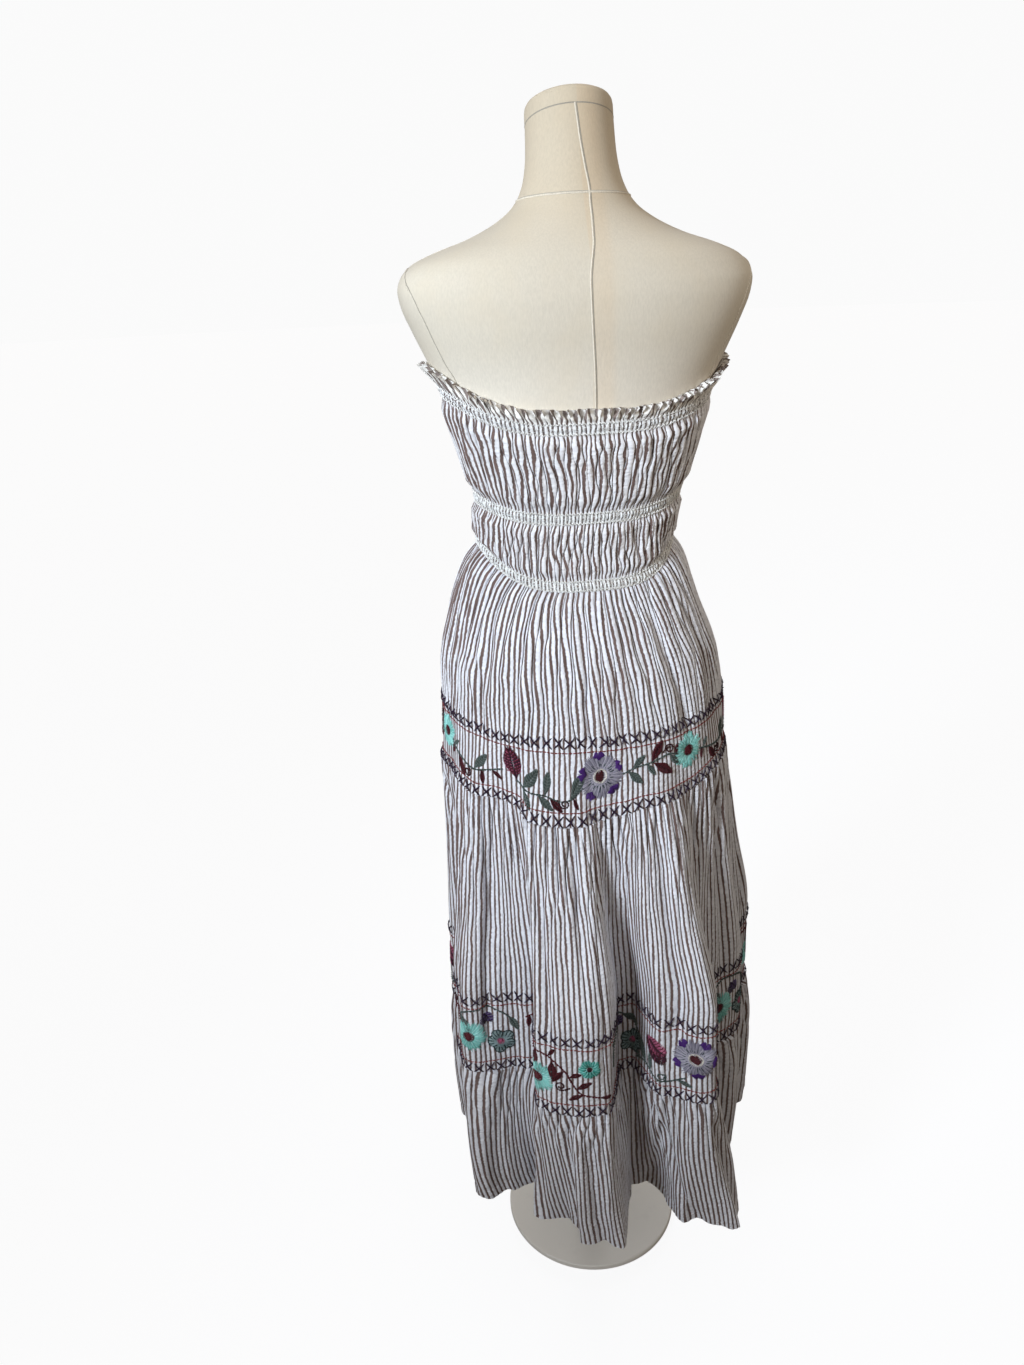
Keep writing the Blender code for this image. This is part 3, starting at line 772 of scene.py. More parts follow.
@functools.lru_cache(maxsize=None)
def bottom_tier_cloth():
    """The bottom tier, gathered into the middle one, with its hem."""
    pitch = settings().stripe_pitch
    outlines = [lowered(folded_outline(LOWER_SEAM), SEAM_GAP)]
    outlines += [folded_outline(height, belly) for height, belly in BOTTOM_TIER_HEIGHTS]
    knots = LOWER_SEAM - np.array([LOWER_SEAM] + [row[0] for row in BOTTOM_TIER_HEIGHTS])
    length = knots[-1]
    places = spaced((0.024, 10), (length - 0.024, 26), (length, 8))
    cloth = skirt_level(outlines, knots, places, LOWER_COLUMNS, fold_pins, hold=0.45)

    def relief(along, down):
        drift = functools.partial(drifts, cloth, along, down)
        phase = along / pitch + drift((61, 0.14, 0.030, 0.060))
        gathered = gathered_share(cloth, 70, along, down, 0.015, 0.070, power=1.4)
        tuck, sideways = gathers(cloth, 62, along, down, 0.0160, 0.78 * gathered,
                                 0.0054 * gathered, 0.050)
        grown = np.clip(down / length, 0.0, 1.0)
        out = 0.0008 * (ribs(phase) - RIB_LEVEL) + tuck + grown * drift(*BOTTOM_SWELLS)
        out = out + 1.5 * crease_relief(cloth, BOTTOM_CREASES, along, down, length)
        out = out - 0.0006 * hump(length - 0.018 - down, 0.0022)
        turn, lift, spread = HEM_LIFT
        off = np.mod(along - cloth.at_turn(turn) + 0.5 * cloth.period, cloth.period)
        up = 0.0018 * grown * drift((69, 1.0, 0.045, 0.400))
        up = up + lift * grown * hump(off - 0.5 * cloth.period, spread)
        return out, sideways + grown * drift(*BOTTOM_SWAYS), up

    return cloth.shape(relief)


# ---------------------------------------------------------------- meshes
def grid_faces(start, rows, columns, flip=False):
    """Quads of a grid whose points are numbered row by row."""
    corner = np.arange(rows)[:, None] * (columns + 1) + np.arange(columns)[None, :] + start
    quads = np.stack([corner, corner + columns + 1, corner + columns + 2, corner + 1], axis=-1)
    quads = quads.reshape(-1, 4)
    return quads[:, ::-1] if flip else quads


def tube_faces(rings, sides):
    """Quads of a tube through closed rings, whose points are numbered ring by ring."""
    start = np.arange(rings - 1)[:, None] * sides
    low = start + np.arange(sides)
    after = start + (np.arange(sides) + 1) % sides
    return np.stack([low, after, after + sides, low + sides], axis=-1).reshape(-1, 4)


def closed_loft(rings):
    """Points and faces of a closed body through rings of equal count, lowest first."""
    count = len(rings[0])
    faces = tube_faces(len(rings), count).tolist()
    faces.append(list(range(count))[::-1])
    faces.append(list(range((len(rings) - 1) * count, len(rings) * count)))
    return np.concatenate(rings), faces


def rim_faces(outer_line, inner_line, flip):
    """Triangles between a fine edge and a plain one, fanned from the plain points."""
    faces = []
    half = INNER_STEP // 2
    for place in range(len(inner_line) - 1):
        first = place * INNER_STEP
        near, far = inner_line[place], inner_line[place + 1]
        for step in range(INNER_STEP):
            hub = near if step < half else far
            faces.append((outer_line[first + step], outer_line[first + step + 1], hub))
        faces.append((outer_line[first + half], far, near))
    return [face[::-1] for face in faces] if flip else faces


def cloth_mesh(name, outer, inner, along, down, finish):
    """A closed thin wall: a fine outer face, a plainer inner one and a narrow rim."""
    rows, columns = outer.shape[0] - 1, outer.shape[1] - 1
    inner_rows, inner_columns = inner.shape[0] - 1, inner.shape[1] - 1
    start = outer.shape[0] * outer.shape[1]
    faces = grid_faces(0, rows, columns).tolist()
    faces += grid_faces(start, inner_rows, inner_columns, flip=True).tolist()
    outer_index = np.arange(start).reshape(outer.shape[:2])
    inner_index = start + np.arange(inner[..., 0].size).reshape(inner.shape[:2])
    faces += rim_faces(outer_index[0], inner_index[0], False)
    faces += rim_faces(outer_index[-1], inner_index[-1], True)
    faces += rim_faces(outer_index[:, 0], inner_index[:, 0], True)
    faces += rim_faces(outer_index[:, -1], inner_index[:, -1], False)
    points = np.concatenate([outer.reshape(-1, 3), inner.reshape(-1, 3)])
    flat = np.stack([along, down], axis=-1)
    flat = np.concatenate([flat.reshape(-1, 2), flat[::INNER_STEP, ::INNER_STEP].reshape(-1, 2)])
    made = mesh_object(name, points, faces, finish)
    layer = made.data.uv_layers.new(name="cloth")
    corners = np.empty(len(made.data.loops), np.int32)
    made.data.loops.foreach_get("vertex_index", corners)
    layer.data.foreach_set("uv", flat[corners].astype(np.float32).ravel())
    return made


def mesh_object(name, points, faces, finish):
    """An object at the origin from points and faces, shaded smooth, riding on the part."""
    mesh = bpy.data.meshes.new(name)
    mesh.from_pydata(np.asarray(points).tolist(), [], faces)
    mesh.validate()
    mesh.shade_smooth()
    mesh.set_sharp_from_angle(angle=SHARP_ANGLE)
    mesh.materials.append(finish)
    made = bpy.data.objects.new(name, mesh)
    bpy.context.scene.collection.objects.link(made)
    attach(made, "root")
    return made


def level_pieces(name, cloth, drop):
    """The back and the front of one level as worn cloth, in place of their solids.
    Drop sets each level's own stretch of the pattern."""
    for side, half in enumerate(("back", "front")):
        along, down = cloth.places(side)
        made = cloth_mesh(f"{name}_{half}_cloth", cloth.outer[side], cloth.inner[side],
                          along, down + drop, cotton())
        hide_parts(f"{name}_{half}")


# ---------------------------------------------------------------- needlework
THREADS = {
    "plum": (0.024, 0.010, 0.032), "rust": (0.190, 0.030, 0.030), "slate": (0.060, 0.080, 0.076),
    "slate light": (0.130, 0.160, 0.152), "maroon": (0.080, 0.007, 0.014),
    "maroon dark": (0.038, 0.006, 0.010), "lavender": (0.300, 0.285, 0.360),
    "lavender dark": (0.170, 0.160, 0.215), "lavender light": (0.420, 0.405, 0.480),
    "purple": (0.058, 0.014, 0.150), "aqua": (0.235, 0.585, 0.555),
    "aqua light": (0.420, 0.750, 0.730), "emerald": (0.050, 0.300, 0.255),
    "teal": (0.210, 0.290, 0.305), "teal light": (0.330, 0.425, 0.440),
    "teal dark": (0.016, 0.036, 0.038), "pink": (0.420, 0.105, 0.200),
    "cream": (0.780, 0.750, 0.680), "elastic": (0.930, 0.925, 0.910),
}
SATIN_LENGTH = 0.008       # thread whose end strays by the whole unevenness asked for
STITCH_OVERLAP = 0.0004    # of one stitch of a line over the next
GARLAND_REPEATS = 3        # of the embroidered pattern, once round the skirt
# Rows of elastic: the line of the bodice that each follows, and how far under it
ELASTIC_ROWS = ((2, 0.0004), (3, 0.0), (6, 0.0), (7, 0.0), (10, 0.0), (11, -0.0012))
# Threads are made of more parts the longer they are: up to these lengths, then beyond
THREAD_LENGTHS, THREAD_PARTS = (0.0050, 0.0100, 0.0150, 0.021), (2, 3, 4, 6, 8)


class Needlework:
    """Straight stitches gathered in the flat coordinates of one level of the dress."""

    def __init__(self, seed):
        self.random = np.random.default_rng(seed)
        self.stitches = []

    def stitch(self, start, end, colour, width=0.0010, lift=0.0002):
        """One straight thread, that stands over the cloth by its lift."""
        self.stitches.append((*start, *end, width, lift + THREAD_LIFT, *THREADS[colour]))

    def satin(self, starts, ends, colours, width=0.0012, lift=0.0004, uneven=0.0004):
        """Threads side by side, their ends a little uneven, coloured in turn."""
        for index, (start, end) in enumerate(zip(starts, ends)):
            start, end = np.asarray(start, float), np.asarray(end, float)
            end = end + (end - start) * self.random.uniform(-1.0, 1.0) * uneven / SATIN_LENGTH
            self.stitch(start, end, colours[index % len(colours)], width, lift)

    def line(self, points, colour, width, step, lift):
        """Stitches one after another along a smooth line."""
        points = np.asarray(points, float)
        steps = np.linalg.norm(np.diff(points, axis=0), axis=1)
        run = np.concatenate([[0.0], np.cumsum(steps)])
        count = max(1, round(run[-1] / step))
        bounds = np.linspace(0.0, run[-1], count + 1)
        for first, last in zip(bounds, bounds[1:]):
            ends = [(np.interp(place, run, points[:, 0]), np.interp(place, run, points[:, 1]))
                    for place in (first, last + STITCH_OVERLAP)]
            self.stitch(*ends, colour, width, lift)


class Place:
    """Where a motif lies on the flat cloth and how it is turned."""

    def __init__(self, along, down, turn=0.0):
        self.centre = np.array([along, down])
        self.turn = math.radians(turn)

    def at(self, points):
        """Flat coordinates of points given in millimetres from the motif's centre."""
        points = np.asarray(points, float) * 0.001
        x, y = points[..., 0], points[..., 1]
        cosine, sine = math.cos(self.turn), math.sin(self.turn)
        return self.centre + np.stack([x * cosine - y * sine, x * sine + y * cosine], axis=-1)

    def ray(self, turn, radius):
        """Flat coordinates of points at turns and distances from the motif's centre."""
        return self.at(np.stack([radius * np.cos(turn), radius * np.sin(turn)], axis=-1))

    def spot(self, x, y, turn):
        """A place of its own for a smaller motif, laid out from this one."""
        return Place(*self.at([(x, y)])[0], turn)


def smooth_line(points, per_span=10):
    """A flowing line through a few points."""
    points = np.asarray(points, float)
    before, after = 2 * points[:1] - points[1:2], 2 * points[-1:] - points[-2:-1]
    padded = np.concatenate([before, points, after])
    share = np.linspace(0.0, 1.0, per_span, endpoint=False)[:, None]
    spans = []
    for a, b, c, d in zip(padded, padded[1:], padded[2:], padded[3:]):
        spans.append(0.5 * (2 * b + (c - a) * share + (2 * a - 5 * b + 4 * c - d) * share ** 2
                            + (3 * b - a - 3 * c + d) * share ** 3))
    return np.concatenate(spans + [points[-1:]])


def filled_disc(work, place, radius, colours):
    """A round of parallel satin threads."""
    rows = np.arange(-radius + 0.5, radius, 1.0)
    half = np.sqrt(np.maximum(radius ** 2 - rows ** 2, 0.0))
    work.satin(place.at(np.stack([-half, rows], -1)), place.at(np.stack([half, rows], -1)),
               colours, width=0.0013, lift=0.0008, uneven=0.0006)


def ringed(work, place, inner, outer, colour, width):
    """A narrow ring of short stitches side by side."""
    count = max(10, round(2.0 * math.pi * outer / 2.1))
    turns = np.linspace(0.0, 2.0 * math.pi, count, endpoint=False)
    work.satin(place.ray(turns, inner), place.ray(turns + 0.10, outer), (colour,),
               width, lift=0.0009, uneven=0.0012)


def petal_edge(turns, petals, notch):
    """Reach of a flower's edge, with a dent between each petal and the next."""
    return (1.0 - notch) + notch * np.abs(np.cos(0.5 * petals * turns)) ** 0.55


def round_flower(work, place, radius, petals, heart, petal_colours, heart_colours,
                 notch=0.30, uneven=0.0008):
    """Petals of long and short threads round a filled heart."""
    count = int(2.0 * math.pi * radius * 0.80 / 1.15)
    turns = np.linspace(0.0, 2.0 * math.pi, count, endpoint=False)
    lobes = petal_edge(turns, petals, notch)
    inner = np.where(np.arange(count) % 2, 0.50 * radius, 1.05 * heart)
    work.satin(place.ray(turns, inner), place.ray(turns, radius * lobes), petal_colours,
               width=0.0016, uneven=uneven)
    filled_disc(work, place, heart, heart_colours)


def whiskers(work, place, count, start, ends, colour, width=0.0010):
    """Fine dark stitches that spread from the heart into the petals."""
    for index in range(count):
        turn = 2.0 * math.pi * (index + work.random.uniform(-0.25, 0.25)) / count
        end = ends[index % len(ends)] * work.random.uniform(0.9, 1.1)
        work.stitch(place.ray(turn, start), place.ray(turn, end), colour, width,
                    lift=0.0009)


def lavender_flower(work, place):
    """A large bloom with five deep heart-shaped tips and a white ring round its heart."""
    radius = 28.5
    round_flower(work, place, radius, 10, 6.8,
                 ("lavender", "lavender dark", "lavender light", "lavender"),
                 ("maroon dark", "maroon"), notch=0.15, uneven=0.0013)
    spread = np.linspace(-0.30, 0.30, 17)
    aside = np.abs(spread) / 0.30
    edge = radius * (1.07 - 0.10 * np.exp(-(spread / 0.060) ** 2) - 0.20 * aside ** 3)
    base = radius * (0.62 + 0.26 * aside ** 1.6)
    for tip in range(5):
        middle = 2.0 * math.pi * (tip + 0.5) / 5
        work.satin(place.ray(middle + spread, base), place.ray(middle + spread, edge),
                   ("purple",), width=0.0023, lift=0.0011, uneven=0.0003)
    whiskers(work, place, 26, 10.0, (19.0, 14.0, 21.5, 16.5), "teal dark", 0.0013)
    ringed(work, place, 7.0, 9.4, "cream", 0.0016)


def aqua_flower(work, place):
    """Six soft aqua petals round a maroon heart."""
    round_flower(work, place, 23.0, 6, 6.0, ("aqua", "aqua light", "aqua"), ("maroon",),
                 notch=0.20, uneven=0.0026)
    ringed(work, place, 5.2, 8.0, "maroon", 0.0012)


def emerald_flower(work, place):
    """A small bloom of five petals in two greens."""
    round_flower(work, place, 14.5, 5, 3.6, ("emerald", "aqua", "emerald"), ("maroon dark",),
                 notch=0.26, uneven=0.0010)
    whiskers(work, place, 10, 4.5, (8.5, 6.5), "maroon dark")


def rosette(work, place):
    """Five rounded petals with dark edges and a small pink heart."""
    round_flower(work, place, 18.5, 5, 3.4, ("teal", "teal dark", "teal", "teal light"),
                 ("pink",), notch=0.40, uneven=0.0006)
    edge = np.linspace(0.0, 2.0 * math.pi, 76)
    work.line(place.ray(edge, 18.2 * petal_edge(edge, 5, 0.40)), "teal dark", width=0.0019,
              step=0.0030, lift=0.0010)
    for petal in range(5):
        middle = 2.0 * math.pi * petal / 5
        gap = middle + math.pi / 5
        work.stitch(place.ray(gap, 5.5), place.ray(gap, 12.8), "teal dark", 0.0019,
                    lift=0.0010)
        for side in (-0.17, 0.17):
            work.stitch(place.ray(middle + side, 7.0), place.ray(middle + side, 14.5),
                        "teal dark", 0.0012, lift=0.0010)
    ringed(work, place, 3.2, 5.2, "pink", 0.0011)


def leaf(work, place, length, colours, vein=None, width=0.175):
    """A pointed leaf along the motif's own line, in slanting satin threads."""
    places = np.arange(0.02, 0.90, 1.15 / length)
    half = 1.12 * width * length * np.sin(math.pi * places ** 0.85) ** 1.15
    for side in (-1.0, 1.0):
        starts = np.stack([places * length, 0.0 * places], -1)
        ends = np.stack([np.minimum(places + 0.10, 0.99) * length, side * half], -1)
        work.satin(place.at(starts), place.at(ends), colours, width=0.0016, uneven=0.0003)
    work.line(place.at([(-1.0, 0.0), (0.5 * length, 0.0), (1.0 * length, 0.0)]),
              vein or colours[-1], width=0.0012, step=0.0045, lift=0.0007)


def curl(work, place, colour, radius, side):
    """A tendril that winds in on itself, to one side or the other."""
    turns = np.linspace(0.0, 1.30 * 2.0 * math.pi, 34)
    radii = radius * (1.0 - 0.62 * turns / turns[-1])
    spiral = np.stack([radii * np.sin(turns), side * (radius - radii * np.cos(turns))], -1)
    lead = np.array([(-1.3 * radius, -side * 0.9)])
    work.line(place.at(np.concatenate([lead, spiral])), colour, width=0.0027, step=0.0026,
              lift=0.0006)


def ribbed_bud(work, place, length=47.0):
    """A closed pointed bloom along the motif's line, with light ribs that slant outwards."""
    leaf(work, place, length, ("maroon", "plum", "maroon"), "plum", width=0.25)
    for side in (-1.0, 1.0):
        for share in np.linspace(0.20, 0.78, 8):
            half = 0.25 * length * math.sin(math.pi * (share + 0.08) ** 0.85) * 1.02
            line = [(share * length, side * 1.0), ((share + 0.035) * length, side * 0.55 * half),
                    ((share + 0.10) * length, side * half)]
            work.line(place.at(smooth_line(line, 4)), "pink", width=0.0013, step=0.0040,
                      lift=0.0013)


def open_tulip(work, place):
    """Two broad petals that meet in a point: the upper one light, the lower one dark."""
    lower = place.spot(-19.0, 1.0, math.degrees(place.turn) + 9.0)
    leaf(work, lower, 43.0, ("maroon", "plum"), "maroon dark", width=0.29)
    upper = place.spot(-17.0, -3.0, math.degrees(place.turn) - 3.0)
    leaf(work, upper, 34.0, ("pink", "maroon", "pink"), "maroon dark", width=0.31)
    for share in (0.25, 0.4, 0.55, 0.7):
        foot, tip = lower.at([(share * 42.0, 1.0), ((share + 0.10) * 42.0, 8.6)])
        work.stitch(foot, tip, "pink", 0.0010, lift=0.0010)


def plum_bud(work, place):
    """Two short petals of a bud that has hardly opened."""
    leaf(work, place, 19.0, ("purple", "plum", "lavender dark"), "plum", width=0.40)
    leaf(work, place.spot(1.0, 3.0, math.degrees(place.turn) + 28.0), 15.0,
         ("plum", "lavender dark"), "plum", width=0.34)


SHADES = {"slate": ("slate", "slate", "slate light"),
          "maroon": ("maroon", "maroon", "maroon dark")}


def vine(work, origin, stems, leaves, curls, blooms):
    """One repeat of a garland from tables of its parts, in millimetres and degrees."""
    for colour, *points in stems:
        work.line(origin.at(smooth_line(points)), colour, width=0.0031, step=0.0036,
                  lift=0.0005)
    for x, y, turn, length, shade in leaves:
        leaf(work, origin.spot(x, y, turn), 1.1 * length, SHADES[shade])
    for x, y, turn, colour, radius, side in curls:
        curl(work, origin.spot(x, y, turn), colour, radius, side)
    for bloom, x, y, turn in blooms:
        bloom(work, origin.spot(x, y, turn))


def upper_garland(work, origin):
    """One repeat of the upper band: lavender bloom, aqua bloom and ribbed bud on a vine."""
    stems = (
        ("slate", (28, -2), (47, -7), (68, -10), (90, -15), (106, -10)),
        ("slate", (142, -2), (164, 8), (188, 15), (214, 11), (238, 3)),
        ("slate", (256, 13), (276, 16), (298, 16), (318, 21), (334, 15), (344, 5)))
    leaves = (
        (35, -4, 46, 25, "slate"), (41, -6, -42, 21, "slate"), (60, -9, 60, 18, "slate"),
        (66, -10, -56, 28, "maroon"), (68, -9, 38, 31, "maroon"), (102, -11, -72, 14, "maroon"),
        (92, -14, 52, 21, "slate"), (151, 2, -48, 15, "slate"), (149, 1, 100, 14, "maroon"),
        (163, 8, 62, 27, "maroon"), (196, 14, -54, 29, "slate"), (207, 12, 82, 19, "maroon"),
        (222, 9, 36, 16, "maroon"), (268, 15, -56, 31, "slate"), (269, 16, 66, 21, "slate"),
        (297, 16, -82, 26, "slate"), (288, 16, 38, 23, "slate"), (303, 17, 44, 21, "maroon"),
        (331, 17, 60, 14, "maroon"), (327, 18, -56, 33, "slate"))
    curls = ((87, -25, -60, "maroon dark", 6.5, 1), (188, 20, 50, "maroon dark", 6.5, 1),
             (316, 25, 70, "maroon dark", 5.5, -1))
    blooms = ((lavender_flower, 0, -4, 12), (aqua_flower, 124, -8, -20),
              (ribbed_bud, 258, 12, -104))
    vine(work, origin, stems, leaves, curls, blooms)


def lower_garland(work, origin):
    """One repeat of the lower band: a longer vine with six kinds of bloom."""
    stems = (
        ("maroon", (26, 4), (42, -12), (58, -28), (78, -25), (96, -12), (114, -6)),
        ("slate", (122, -24), (142, -38), (168, -39), (190, -28), (202, -10)),
        ("maroon", (216, -24), (240, -33), (268, -36), (298, -32), (320, -24), (336, -8),
         (345, 10), (356, 24), (378, 31)),
        ("slate", (412, -8), (424, -28), (448, -37), (474, -28), (497, -4)),
        ("slate", (490, 36), (510, 29), (536, 34), (556, 34), (576, 25)))
    leaves = (
        (33, -4, -98, 19, "maroon"), (45, -16, -152, 17, "maroon"), (52, -22, 22, 19, "maroon"),
        (62, -29, -62, 17, "maroon"), (80, -24, 74, 20, "maroon"), (98, -12, -44, 15, "maroon"),
        (129, -29, 58, 23, "slate"), (124, -26, 20, 17, "slate"), (194, -25, 62, 24, "slate"),
        (222, -27, 100, 17, "maroon"), (248, -34, 30, 19, "maroon"),
        (268, -36, 118, 20, "maroon"), (300, -33, 108, 26, "maroon"),
        (314, -28, -48, 14, "maroon"), (320, -23, 92, 27, "maroon"),
        (334, -10, 128, 22, "maroon"), (340, 0, -20, 16, "maroon"),
        (350, 17, -30, 20, "maroon"), (358, 25, 150, 18, "maroon"), (378, 31, 10, 14, "maroon"),
        (414, -12, 92, 19, "slate"), (420, -24, -150, 16, "slate"),
        (470, -30, 34, 24, "slate"), (500, 33, -142, 33, "slate"), (514, 29, -118, 36, "slate"),
        (526, 31, -92, 24, "slate"), (566, 31, 18, 17, "slate"))
    curls = ((334, 20, 150, "maroon dark", 7.0, 1), (546, 34, -12, "slate", 6.0, -1),
             (88, -18, 0, "maroon dark", 6.0, -1))
    blooms = ((plum_bud, 160, -30, 48), (plum_bud, 458, -30, 58), (lavender_flower, 0, -8, -25),
              (aqua_flower, 140, 2, 10), (rosette, 183, 12, 30), (aqua_flower, 298, 8, 25),
              (emerald_flower, 366, -14, 30), (rosette, 484, 13, 0), (open_tulip, 534, -11, 30))
    vine(work, origin, stems, leaves, curls, blooms)


def cross_row(work, cloth, down, tall=0.0136, wide=0.0122, step=0.0143):
    """A row of crosses all round the skirt."""
    count = round(cloth.period / step)
    for index in range(count):
        along = cloth.period * (index + 0.5) / count
        shift = work.random.uniform(-0.0005, 0.0005, 2)
        centre = np.array([along, down]) + shift
        for side in (-1.0, 1.0):
            reach = np.array([0.5 * wide, 0.5 * side * tall]) * work.random.uniform(0.92, 1.06, 2)
            work.stitch(centre - reach, centre + reach, "plum", width=0.0023,
                        lift=0.0010 + 0.0005 * (side > 0))


def running_row(work, cloth, down, step=0.0046, stitch=0.0042):
    """A row of running stitch all round the skirt."""
    count = round(cloth.period / step)
    for index in range(count):
        along = cloth.period * index / count
        work.stitch((along, down), (along + stitch, down), "rust", width=0.0020, lift=0.0005)


def shirring_row(work, cloth, down, step=0.0034, tall=0.0017):
    """Small slanting stitches of elastic thread, one way and the other."""
    count = 2 * round(0.5 * cloth.period / step)
    for index in range(count):
        along = cloth.period * index / count
        lean = tall * (1.0 if index % 2 else -1.0) * work.random.uniform(0.7, 1.2)
        drop = work.random.uniform(-0.0003, 0.0003)
        work.stitch((along, down - lean + drop), (along + step, down + lean + drop), "elastic",
                    width=0.0014, lift=0.0010)


def embroidered_band(name, seed, cloth, top, start, garland):
    """Crosses, running stitch and the garland, from its start, over a level's lower edge."""
    work = Needlework(seed)
    foot = cloth.downs[-1]
    top_row, bottom_row = foot - top, foot - BAND_FOOT
    for row in (top_row, bottom_row):
        cross_row(work, cloth, row)
    running_row(work, cloth, top_row + TOP_LINE)
    running_row(work, cloth, bottom_row - FOOT_LINE)
    middle = 0.5 * (top_row + TOP_LINE + bottom_row - FOOT_LINE)
    repeat = cloth.period / GARLAND_REPEATS
    for index in range(GARLAND_REPEATS):
        garland(work, Place(start + index * repeat, middle))
    return thread_object(name, work, cloth)


def thread_object(name, work, cloth):
    """All stitches of a piece of needlework as one mesh of fine closed threads."""
    table = np.array(work.stitches)
    lengths = np.linalg.norm(table[:, 2:4] - table[:, 0:2], axis=1)
    parts = np.array(THREAD_PARTS)[np.digitize(lengths, THREAD_LENGTHS)]
    points, faces, colours = [], [], []
    start = 0
    for count in np.unique(parts):
        rows = table[parts == count]
        ring, tube = thread_rings(rows, count, cloth)
        points.append(ring.reshape(-1, 3))
        each = (count + 1) * THREAD_SIDES
        base = start + np.arange(len(rows))[:, None, None] * each
        faces += (base + tube[None]).reshape(-1, 4).tolist()
        for end, flip in ((0, True), (count, False)):
            cap = end * THREAD_SIDES + np.arange(THREAD_SIDES)
            cap = cap[::-1] if flip else cap
            faces += (base[:, :, 0] + cap[None]).tolist()
        colours.append(np.repeat(rows[:, 6:9], each, axis=0))
        start += len(rows) * each
    made = mesh_object(name, np.concatenate(points), faces, thread())
    colours = np.concatenate(colours)
    shade = 1.0 + 0.10 * np.sin(37.0 * np.arange(len(colours)) // THREAD_SIDES)
    colours = np.clip(colours * shade[:, None], 0.0, 1.0)
    layer = made.data.color_attributes.new("thread_colour", "FLOAT_COLOR", "POINT")
    full = np.column_stack([colours, np.ones(len(colours))]).astype(np.float32)
    layer.data.foreach_set("color", full.ravel())
    return made


def thread_rings(rows, count, cloth):
    """Rings of every stitch that has the same number of parts, and one stitch's quads."""
    share = np.linspace(0.0, 1.0, count + 1)
    along = rows[:, None, 0] + (rows[:, 2] - rows[:, 0])[:, None] * share
    down = rows[:, None, 1] + (rows[:, 3] - rows[:, 1])[:, None] * share
    arch = np.sqrt(np.maximum(1.0 - (2.0 * share - 1.0) ** 2, 0.0))
    lift = (rows[:, None, 5] + 0.00035) * arch - 0.0001
    centre, normal = cloth.point(along, down, lift)
    tangent = np.gradient(centre, axis=1)
    tangent /= np.maximum(np.linalg.norm(tangent, axis=2), 1e-9)[:, :, None]
    across = np.cross(normal, tangent)
    across /= np.maximum(np.linalg.norm(across, axis=2), 1e-9)[:, :, None]
    radius = 0.5 * rows[:, None, 4] * (0.55 + 0.45 * arch)
    turns = 0.5 * math.pi + np.arange(THREAD_SIDES) * 2.0 * math.pi / THREAD_SIDES
    ring = (centre[:, :, None] + radius[:, :, None, None]
            * (across[:, :, None] * np.cos(turns)[:, None]
               + normal[:, :, None] * 0.75 * np.sin(turns)[:, None]))
    return ring, tube_faces(count + 1, THREAD_SIDES)


# ---------------------------------------------------------------- finishes
def add_node(tree, kind, inputs=None, **values):
    """A node with its settings, and its inputs as plain values or linked sockets."""
    made = tree.nodes.new(kind)
    for name, value in values.items():
        setattr(made, name, value)
    for name, value in (inputs or {}).items():
        if isinstance(value, bpy.types.NodeSocket):
            tree.links.new(value, made.inputs[name])
        else:
            made.inputs[name].default_value = value
    return made


def calc(tree, operation, first, second=0.0):
    """The result of one Math node."""
    return add_node(tree, "ShaderNodeMath", {0: first, 1: second},
                    operation=operation).outputs[0]


def plus(tree, first, second):
    return calc(tree, "ADD", first, second)


def times(tree, first, second):
    return calc(tree, "MULTIPLY", first, second)


def blend_colour(tree, share, first, second, mode="MIX"):
    """The first colour with a share of the second, mixed or multiplied."""
    made = add_node(tree, "ShaderNodeMix", {0: share, 6: first, 7: second},
                    data_type="RGBA", blend_type=mode)
    return made.outputs[2]


def toned(colour, share=1.0):
    """A colour made darker or lighter, with its alpha."""
    return tuple(share * part for part in colour) + (1.0,)


def stretched_noise(tree, vector, scales, detail=2.0, roughness=0.5):
    """Noise whose cells have the given sizes in metres."""
    scaled = add_node(tree, "ShaderNodeVectorMath",
                      {0: vector, 1: tuple(1.0 / size for size in scales)},
                      operation="MULTIPLY")
    made = add_node(tree, "ShaderNodeTexNoise",
                    {"Vector": scaled.outputs[0], "Scale": 1.0, "Detail": detail,
                     "Roughness": roughness})
    return made.outputs["Fac"]


def map_range(tree, value, low, high, to_low=0.0, to_high=1.0):
    """Eases from one value to another as the first goes from low to high."""
    made = add_node(tree, "ShaderNodeMapRange",
                    {"Value": value, "From Min": low, "From Max": high, "To Min": to_low,
                     "To Max": to_high}, interpolation_type="SMOOTHSTEP")
    return made.outputs[0]


def new_finish(name, colour):
    """A material with its tree and its shader."""
    made = bpy.data.materials.new(name)
    made.use_nodes = True
    made.diffuse_color = (*colour, 1.0)
    tree = made.node_tree
    return made, tree, tree.nodes["Principled BSDF"]


def object_place(tree):
    """The place on the object, in metres."""
    return add_node(tree, "ShaderNodeTexCoord").outputs["Object"]


def coat(tree, shader, colour, height, strength, distance):
    """Give the shader its colour, if a pattern makes it, and its small relief."""
    if colour is not None:
        tree.links.new(colour, shader.inputs["Base Color"])
    bump = add_node(tree, "ShaderNodeBump", {"Height": height, "Strength": strength,
                                             "Distance": distance})
    tree.links.new(bump.outputs[0], shader.inputs["Normal"])


def matt(shader, roughness, specular, sheen=0.0):
    """Set what is the same all over a matt finish, on the shader's own sockets."""
    shader.inputs["Roughness"].default_value = roughness
    shader.inputs["Specular IOR Level"].default_value = specular
    shader.inputs["Sheen Weight"].default_value = sheen


